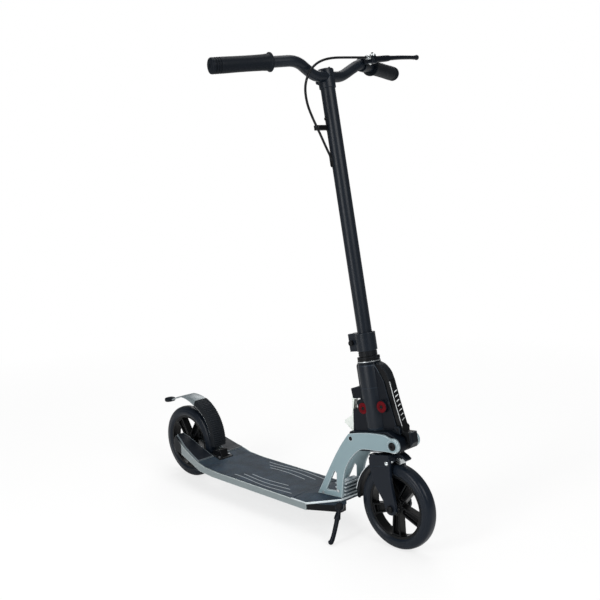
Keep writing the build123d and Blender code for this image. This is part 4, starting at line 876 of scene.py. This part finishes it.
def makeGuard():
    g = guardSizes
    hub = frontAxle / mm
    outside = g["inner"] + g["wall"]
    leanBack = math.degrees(math.atan2(forward.z, forward.x))
    sections = []
    for k in range(25):
        angle = math.radians(g["start"] + leanBack + (g["end"] - g["start"]) * k / 24)
        out = Vector((math.cos(angle), 0, math.sin(angle)))
        half = g["half"] * (1 - g["narrowing"] * (k / 24) ** 6)
        sections.append(channelSection(hub + out * outside, out, half, g["cheek"], g["wall"], 2.6))
    addPiece("frontGuard", loftMesh("frontGuard", sections), blackNylon, "fork",
             replaced=("front_mudguard",), sharp=50)
    # a pale strip along the right edge: painted highlight
    highlightStrip = []
    for k in range(19):
        angle = math.radians(g["highlightStart"] + leanBack + g["highlightSpan"] * k / 18)
        place = hub + Vector((math.cos(angle), 0, math.sin(angle))) * (outside - 0.6)
        highlightStrip.append((place.x, -g["half"] + 0.1, place.z, g["highlightWidth"], g["highlightWidth"]))
    addPiece("guardHighlightStrip", barMesh("guardHighlightStrip", highlightStrip, (0, 1, 0), 0.5, 4, 1), lipAndHighlightSilver, "fork",
             sharp=60)
    addPiece("guardStrut", barMesh("guardStrut", strutStations, (1, 0, 0.2), 5), blackNylon, "fork",
             columnFrame, sharp=60)


makeGuard()

# ---- side stand: a knuckle on its pin and a leg that thickens above the bend
standSizes = {"knuckle": 9.3, "knuckleHalf": 4.4, "edge": 1.1, "footZ": 9.0}
# stations of the leg: share of the way to the foot, shift forwards, thickness
standShape = ((0.07, 0, 9.4), (0.18, 0, 9.8), (0.30, 0, 12.5), (0.36, 0.3, 12.5), (0.40, 0.4, 9.6),
              (0.62, 0.5, 9.2), (0.82, 0, 9.0), (0.95, -1.0, 9.4), (1.0, -2.0, 9.6))
# stations of the bent end: shift forwards and left from the foot, height, width, thickness
standEnd = ((-3.5, -0.5, 6.0, 10, 10), (-6.5, -1.0, 4.6, 10.5, 8.6))


def makeStand():
    pivot = Vector(joints["stand_fold"]["pos_m"]) / mm
    pinWay = Vector(joints["stand_fold"]["axis"]).normalized()
    r, half, edge = standSizes["knuckle"], standSizes["knuckleHalf"], standSizes["edge"]
    profile = [(0, -half), (r - edge, -half), (r, -half + 1), (r, half - 1), (r - edge, half), (0, half)]
    addPiece("standKnuckle", turnedMesh("standKnuckle", profile, 48), castCoat, "stand",
             axisFrame(pivot * mm, pinWay))
    low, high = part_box("stand_shoe")
    foot = (low + high) / 2 / mm
    stations = []
    for share, shiftX, size in standShape:
        place = pivot.lerp(Vector((foot.x, foot.y, standSizes["footZ"])), share)
        stations.append((place.x + shiftX, place.y, place.z, size, size))
    stations += [(foot.x + x, foot.y + y, z, width, height) for x, y, z, width, height in standEnd]
    addPiece("standBar", barMesh("standBar", stations, (1, 0, 0.2), 2.4), castCoat, "stand",
             replaced=("stand_leg", "stand_shoe"), sharp=60)


makeStand()
print("stand and mudguards made")

# ---- deck: its places are measured from between the axles
deckMiddle = (frontAxle.x + rearAxle.x) / 2 / mm
waves = {"count": 3, "width": 2.2, "pitch": 15.0, "start": -110.0, "end": 80.0, "swell": 7.0, "length": 190.0,
         "edgeY": 62.0, "startShift": 16, "endShift": 20, "top": 68.2}


def makeWaves():
    # three calm printed waves on each side of the grip sheet
    w = waves
    for side in (-1, 1):
        for i in range(w["count"]):
            first, last = w["start"] + i * w["startShift"], w["end"] - i * w["endShift"]
            places = []
            for k in range(49):
                x = first + (last - first) * k / 48
                rise = w["swell"] * (1 - math.cos(2 * math.pi * x / w["length"] + i * 0.5)) / 2
                places.append((x + deckMiddle, side * (w["edgeY"] - i * w["pitch"] - rise), w["top"]))
            inkStrip("wave" + sideWord(side) + str(i), places, w["width"] / 2, paleInk, "deck",
                     out=(0, 0, 1))


trims = {"seamX": 95.5, "seamZ": 68.0, "seamWidth": 7.0, "seamHeight": 1.3, "seamHalf": 70.5,
         "lip": 3.2, "lipHeight": 4.2, "kneeX": 142.0, "noseX": 211.5, "neckY": 72.6, "noseY": 35.4,
         "lipStart": (97.0, 65.8), "kneeZ": 66.2, "noseZ": 80.4,
         "frontZ": 81.6, "frontHalf": 35.0, "frontAhead": 1.0, "frontSize": (4.6, 3.4),
         "ribs": (91.0, 99.0, 107.0, 115.0), "ribFoot": 84.0, "ribAhead": 2.0, "ribLean": 0.12,
         "ribHalf": 28.5, "ribSize": (5.0, 3.0)}


def makeTrims():
    # a grit strip over the joint of deck and neck, the silver lip round the neck, and ribs up the tie
    n = trims
    places = [(n["seamX"] + deckMiddle, y, n["seamZ"], n["seamWidth"], n["seamHeight"])
              for y in (-n["seamHalf"], 0, n["seamHalf"])]
    addPiece("seamStrip", barMesh("seamStrip", places, (0, 0, 1), 6), gritTop, "deck", sharp=60)
    kneeX, noseX = n["kneeX"] + deckMiddle, n["noseX"] + deckMiddle
    startX, startZ = n["lipStart"]
    size = (n["lip"], n["lipHeight"])
    for side in (-1, 1):
        places = [(startX + deckMiddle, side * n["neckY"], startZ, *size),
                  (kneeX, side * n["neckY"], n["kneeZ"], *size),
                  (noseX, side * n["noseY"], n["noseZ"], *size)]
        path = [tuple(a + (b - a) * k / 6 for a, b in zip(p, q))
                for p, q in zip(places, places[1:]) for k in range(6)]
        lip = barMesh("neckLip", path + [places[-1]], (0, 0, 1), 4, 16, 1)
        addPiece("neckLip" + sideWord(side), lip, lipAndHighlightSilver, "deck", sharp=60)
    places = [(noseX + n["frontAhead"], y, n["frontZ"], *n["frontSize"])
              for y in (-n["frontHalf"], 0, n["frontHalf"])]
    addPiece("neckFront", barMesh("neckFront", places, (0, 0, 1), 4), lipAndHighlightSilver, "deck",
             sharp=60)
    for i, height in enumerate(n["ribs"]):
        x = noseX + n["ribAhead"] + n["ribLean"] * (height - n["ribFoot"])
        places = [(x, y, height, *n["ribSize"]) for y in (-n["ribHalf"], 0, n["ribHalf"])]
        addPiece("tieRib" + str(i), barMesh("tieRib", places, (0, 0, 1), 4), tieShadeSilver, "deck",
                 sharp=60)


# edges of the rear arm ends, each as pairs of x behind the axle and height or half width
armEnd = {"start": 33.0, "end": -20.5, "lift": 0.7,
          "top": ((37.5, 99.8), (19.5, 107.0), (-4.5, 112.0), (-21.0, 98.5)),
          "low": ((37.5, 76.0), (-8.5, 76.0), (-21.0, 93.0)),
          "plan": ((37.5, 63.0), (-5.5, 49.0), (-23.5, 40.0))}


def makeArmEnds():
    # dark moulded covers over the outer faces of the rear arms, round the axle
    a = armEnd
    lift, axleX = a["lift"], rearAxle.x / mm
    for side in (-1, 1):
        sections = []
        for k in range(19):
            x = a["start"] - (a["start"] - a["end"]) * k / 18
            low, top, out = along(a["low"], x) - 0.4, along(a["top"], x) + 0.4, along(a["plan"], x)
            outline = ((-1.5, low), (lift, low + 0.8), (lift, top - 0.8), (-0.6, top), (-4.0, top))
            sections.append([(axleX + x, side * (out + reach), z) for reach, z in outline])
        addPiece("armCover" + sideWord(side), loftMesh("armCover", sections), matNylon, "deck",
                 sharp=40)


makeWaves()
makeTrims()
makeArmEnds()
print("printed lines and trims made")


# ---- stage, light and camera
floorSizes = {"half": 60.0, "light": "#f8f8f8", "dark": "#f4f4f3", "patch": 900, "near": 0.75, "far": 2.0,
              "nearGlow": 0.74}


def makeStage():
    mesh = bpy.data.meshes.new("floor")
    half = floorSizes["half"]
    mesh.from_pydata([(-half, -half, 0), (half, -half, 0), (half, half, 0), (-half, half, 0)], [],
                     [(0, 1, 2, 3)])
    floor = bpy.data.objects.new("floor", mesh)
    bpy.context.scene.collection.objects.link(floor)
    material, tree, shader = newMaterial("pale studio floor", {"Roughness": 0.9, "Specular IOR Level": 0.0})
    patch = noiseAt(tree, floorSizes["patch"])
    colour = addNode(tree, "ShaderNodeMix", {"Factor": patch.outputs["Fac"], 6: linear(floorSizes["dark"]),
                                             7: linear(floorSizes["light"])}, data_type="RGBA")
    tree.links.new(colour.outputs[2], shader.inputs["Base Color"])
    # the camera sees the far floor as plain white paper and the near floor with its shadow
    ray = addNode(tree, "ShaderNodeLightPath")
    place = addNode(tree, "ShaderNodeTexCoord")
    distance = addNode(tree, "ShaderNodeVectorMath", {0: place.outputs["Object"]}, operation="LENGTH")
    paper = addNode(tree, "ShaderNodeMapRange", {
        "Value": distance.outputs["Value"], "From Min": floorSizes["near"], "From Max": floorSizes["far"],
        "To Min": floorSizes["nearGlow"], "To Max": 1.0})
    share = addNode(tree, "ShaderNodeMath", {0: ray.outputs["Is Camera Ray"], 1: paper.outputs["Result"]},
                    operation="MULTIPLY")
    glow = addNode(tree, "ShaderNodeEmission", {"Strength": 1.0})
    blend = addNode(tree, "ShaderNodeMixShader", {0: share.outputs[0], 1: shader.outputs["BSDF"],
                                                  2: glow.outputs["Emission"]})
    output = next(n for n in tree.nodes if n.bl_idname == "ShaderNodeOutputMaterial")
    tree.links.new(blend.outputs[0], output.inputs["Surface"])
    mesh.materials.append(material)


roomGlow = {"room": 0.24, "paper": 1.0}


def makeWorld():
    world = bpy.data.worlds.new("studio")
    bpy.context.scene.world = world
    world.use_nodes = True
    tree = world.node_tree
    tree.nodes.clear()
    ray = addNode(tree, "ShaderNodeLightPath")
    white = (1, 1, 1, 1)
    room = addNode(tree, "ShaderNodeBackground", {"Color": white, "Strength": roomGlow["room"]})
    paper = addNode(tree, "ShaderNodeBackground", {"Color": white, "Strength": roomGlow["paper"]})
    mix = addNode(tree, "ShaderNodeMixShader", {0: ray.outputs["Is Camera Ray"], 1: room.outputs[0],
                                                2: paper.outputs[0]})
    addNode(tree, "ShaderNodeOutputWorld", {"Surface": mix.outputs[0]})


lamps = {
    # place and target in metres, width and height in metres, power in watts
    "keyPanel": ((2.6, -0.5, 1.9), (0.0, 0.0, 0.4), 1.3, 1.3, 40),
    "stripPanel": ((0.1, -2.7, 1.3), (0.0, 0.0, 0.5), 0.7, 2.2, 46),
    "backPanel": ((-1.6, 1.9, 1.8), (0.0, 0.0, 0.5), 1.5, 1.5, 20),
    "topPanel": ((-0.3, 0.2, 3.0), (0.0, 0.0, 0.3), 2.0, 2.0, 36),
}


def aimed(place, target):
    place, target = Vector(place), Vector(target)
    return Matrix.Translation(place) @ (target - place).to_track_quat("-Z", "Y").to_matrix().to_4x4()


for lampName, (place, target, width, height, power) in lamps.items():
    light = bpy.data.lights.new(lampName, "AREA")
    light.shape = "RECTANGLE"
    light.size = width
    light.size_y = height
    light.energy = power
    lamp = bpy.data.objects.new(lampName, light)
    bpy.context.scene.collection.objects.link(lamp)
    lamp.matrix_world = aimed(place, target)

# from between the axles, in metres
cameraSizes = {"place": (1.5023, -1.4074, 0.8219), "target": (0.0708, 0.0, 0.4902), "lens": 56.25,
               "sensor": 36, "roll": -1.96}


def makeCamera():
    data = bpy.data.cameras.new("viewer")
    data.lens = cameraSizes["lens"]
    data.sensor_width = cameraSizes["sensor"]
    middle = Vector((deckMiddle * mm, 0, 0))
    place, target = Vector(cameraSizes["place"]) + middle, Vector(cameraSizes["target"]) + middle
    ahead = (target - place).normalized()
    right = ahead.cross(Vector((0, 0, 1))).normalized()
    up = right.cross(ahead)
    roll = math.radians(cameraSizes["roll"])
    right, up = right * math.cos(roll) + up * math.sin(roll), up * math.cos(roll) - right * math.sin(roll)
    camera = bpy.data.objects.new("viewer", data)
    bpy.context.scene.collection.objects.link(camera)
    camera.matrix_world = Matrix.Translation(place) @ Matrix((right, up, -ahead)).transposed().to_4x4()
    bpy.context.scene.camera = camera


makeStage()
makeWorld()
makeCamera()
bpy.context.scene.view_settings.view_transform = "Standard"
print("stage, lamps and camera made")
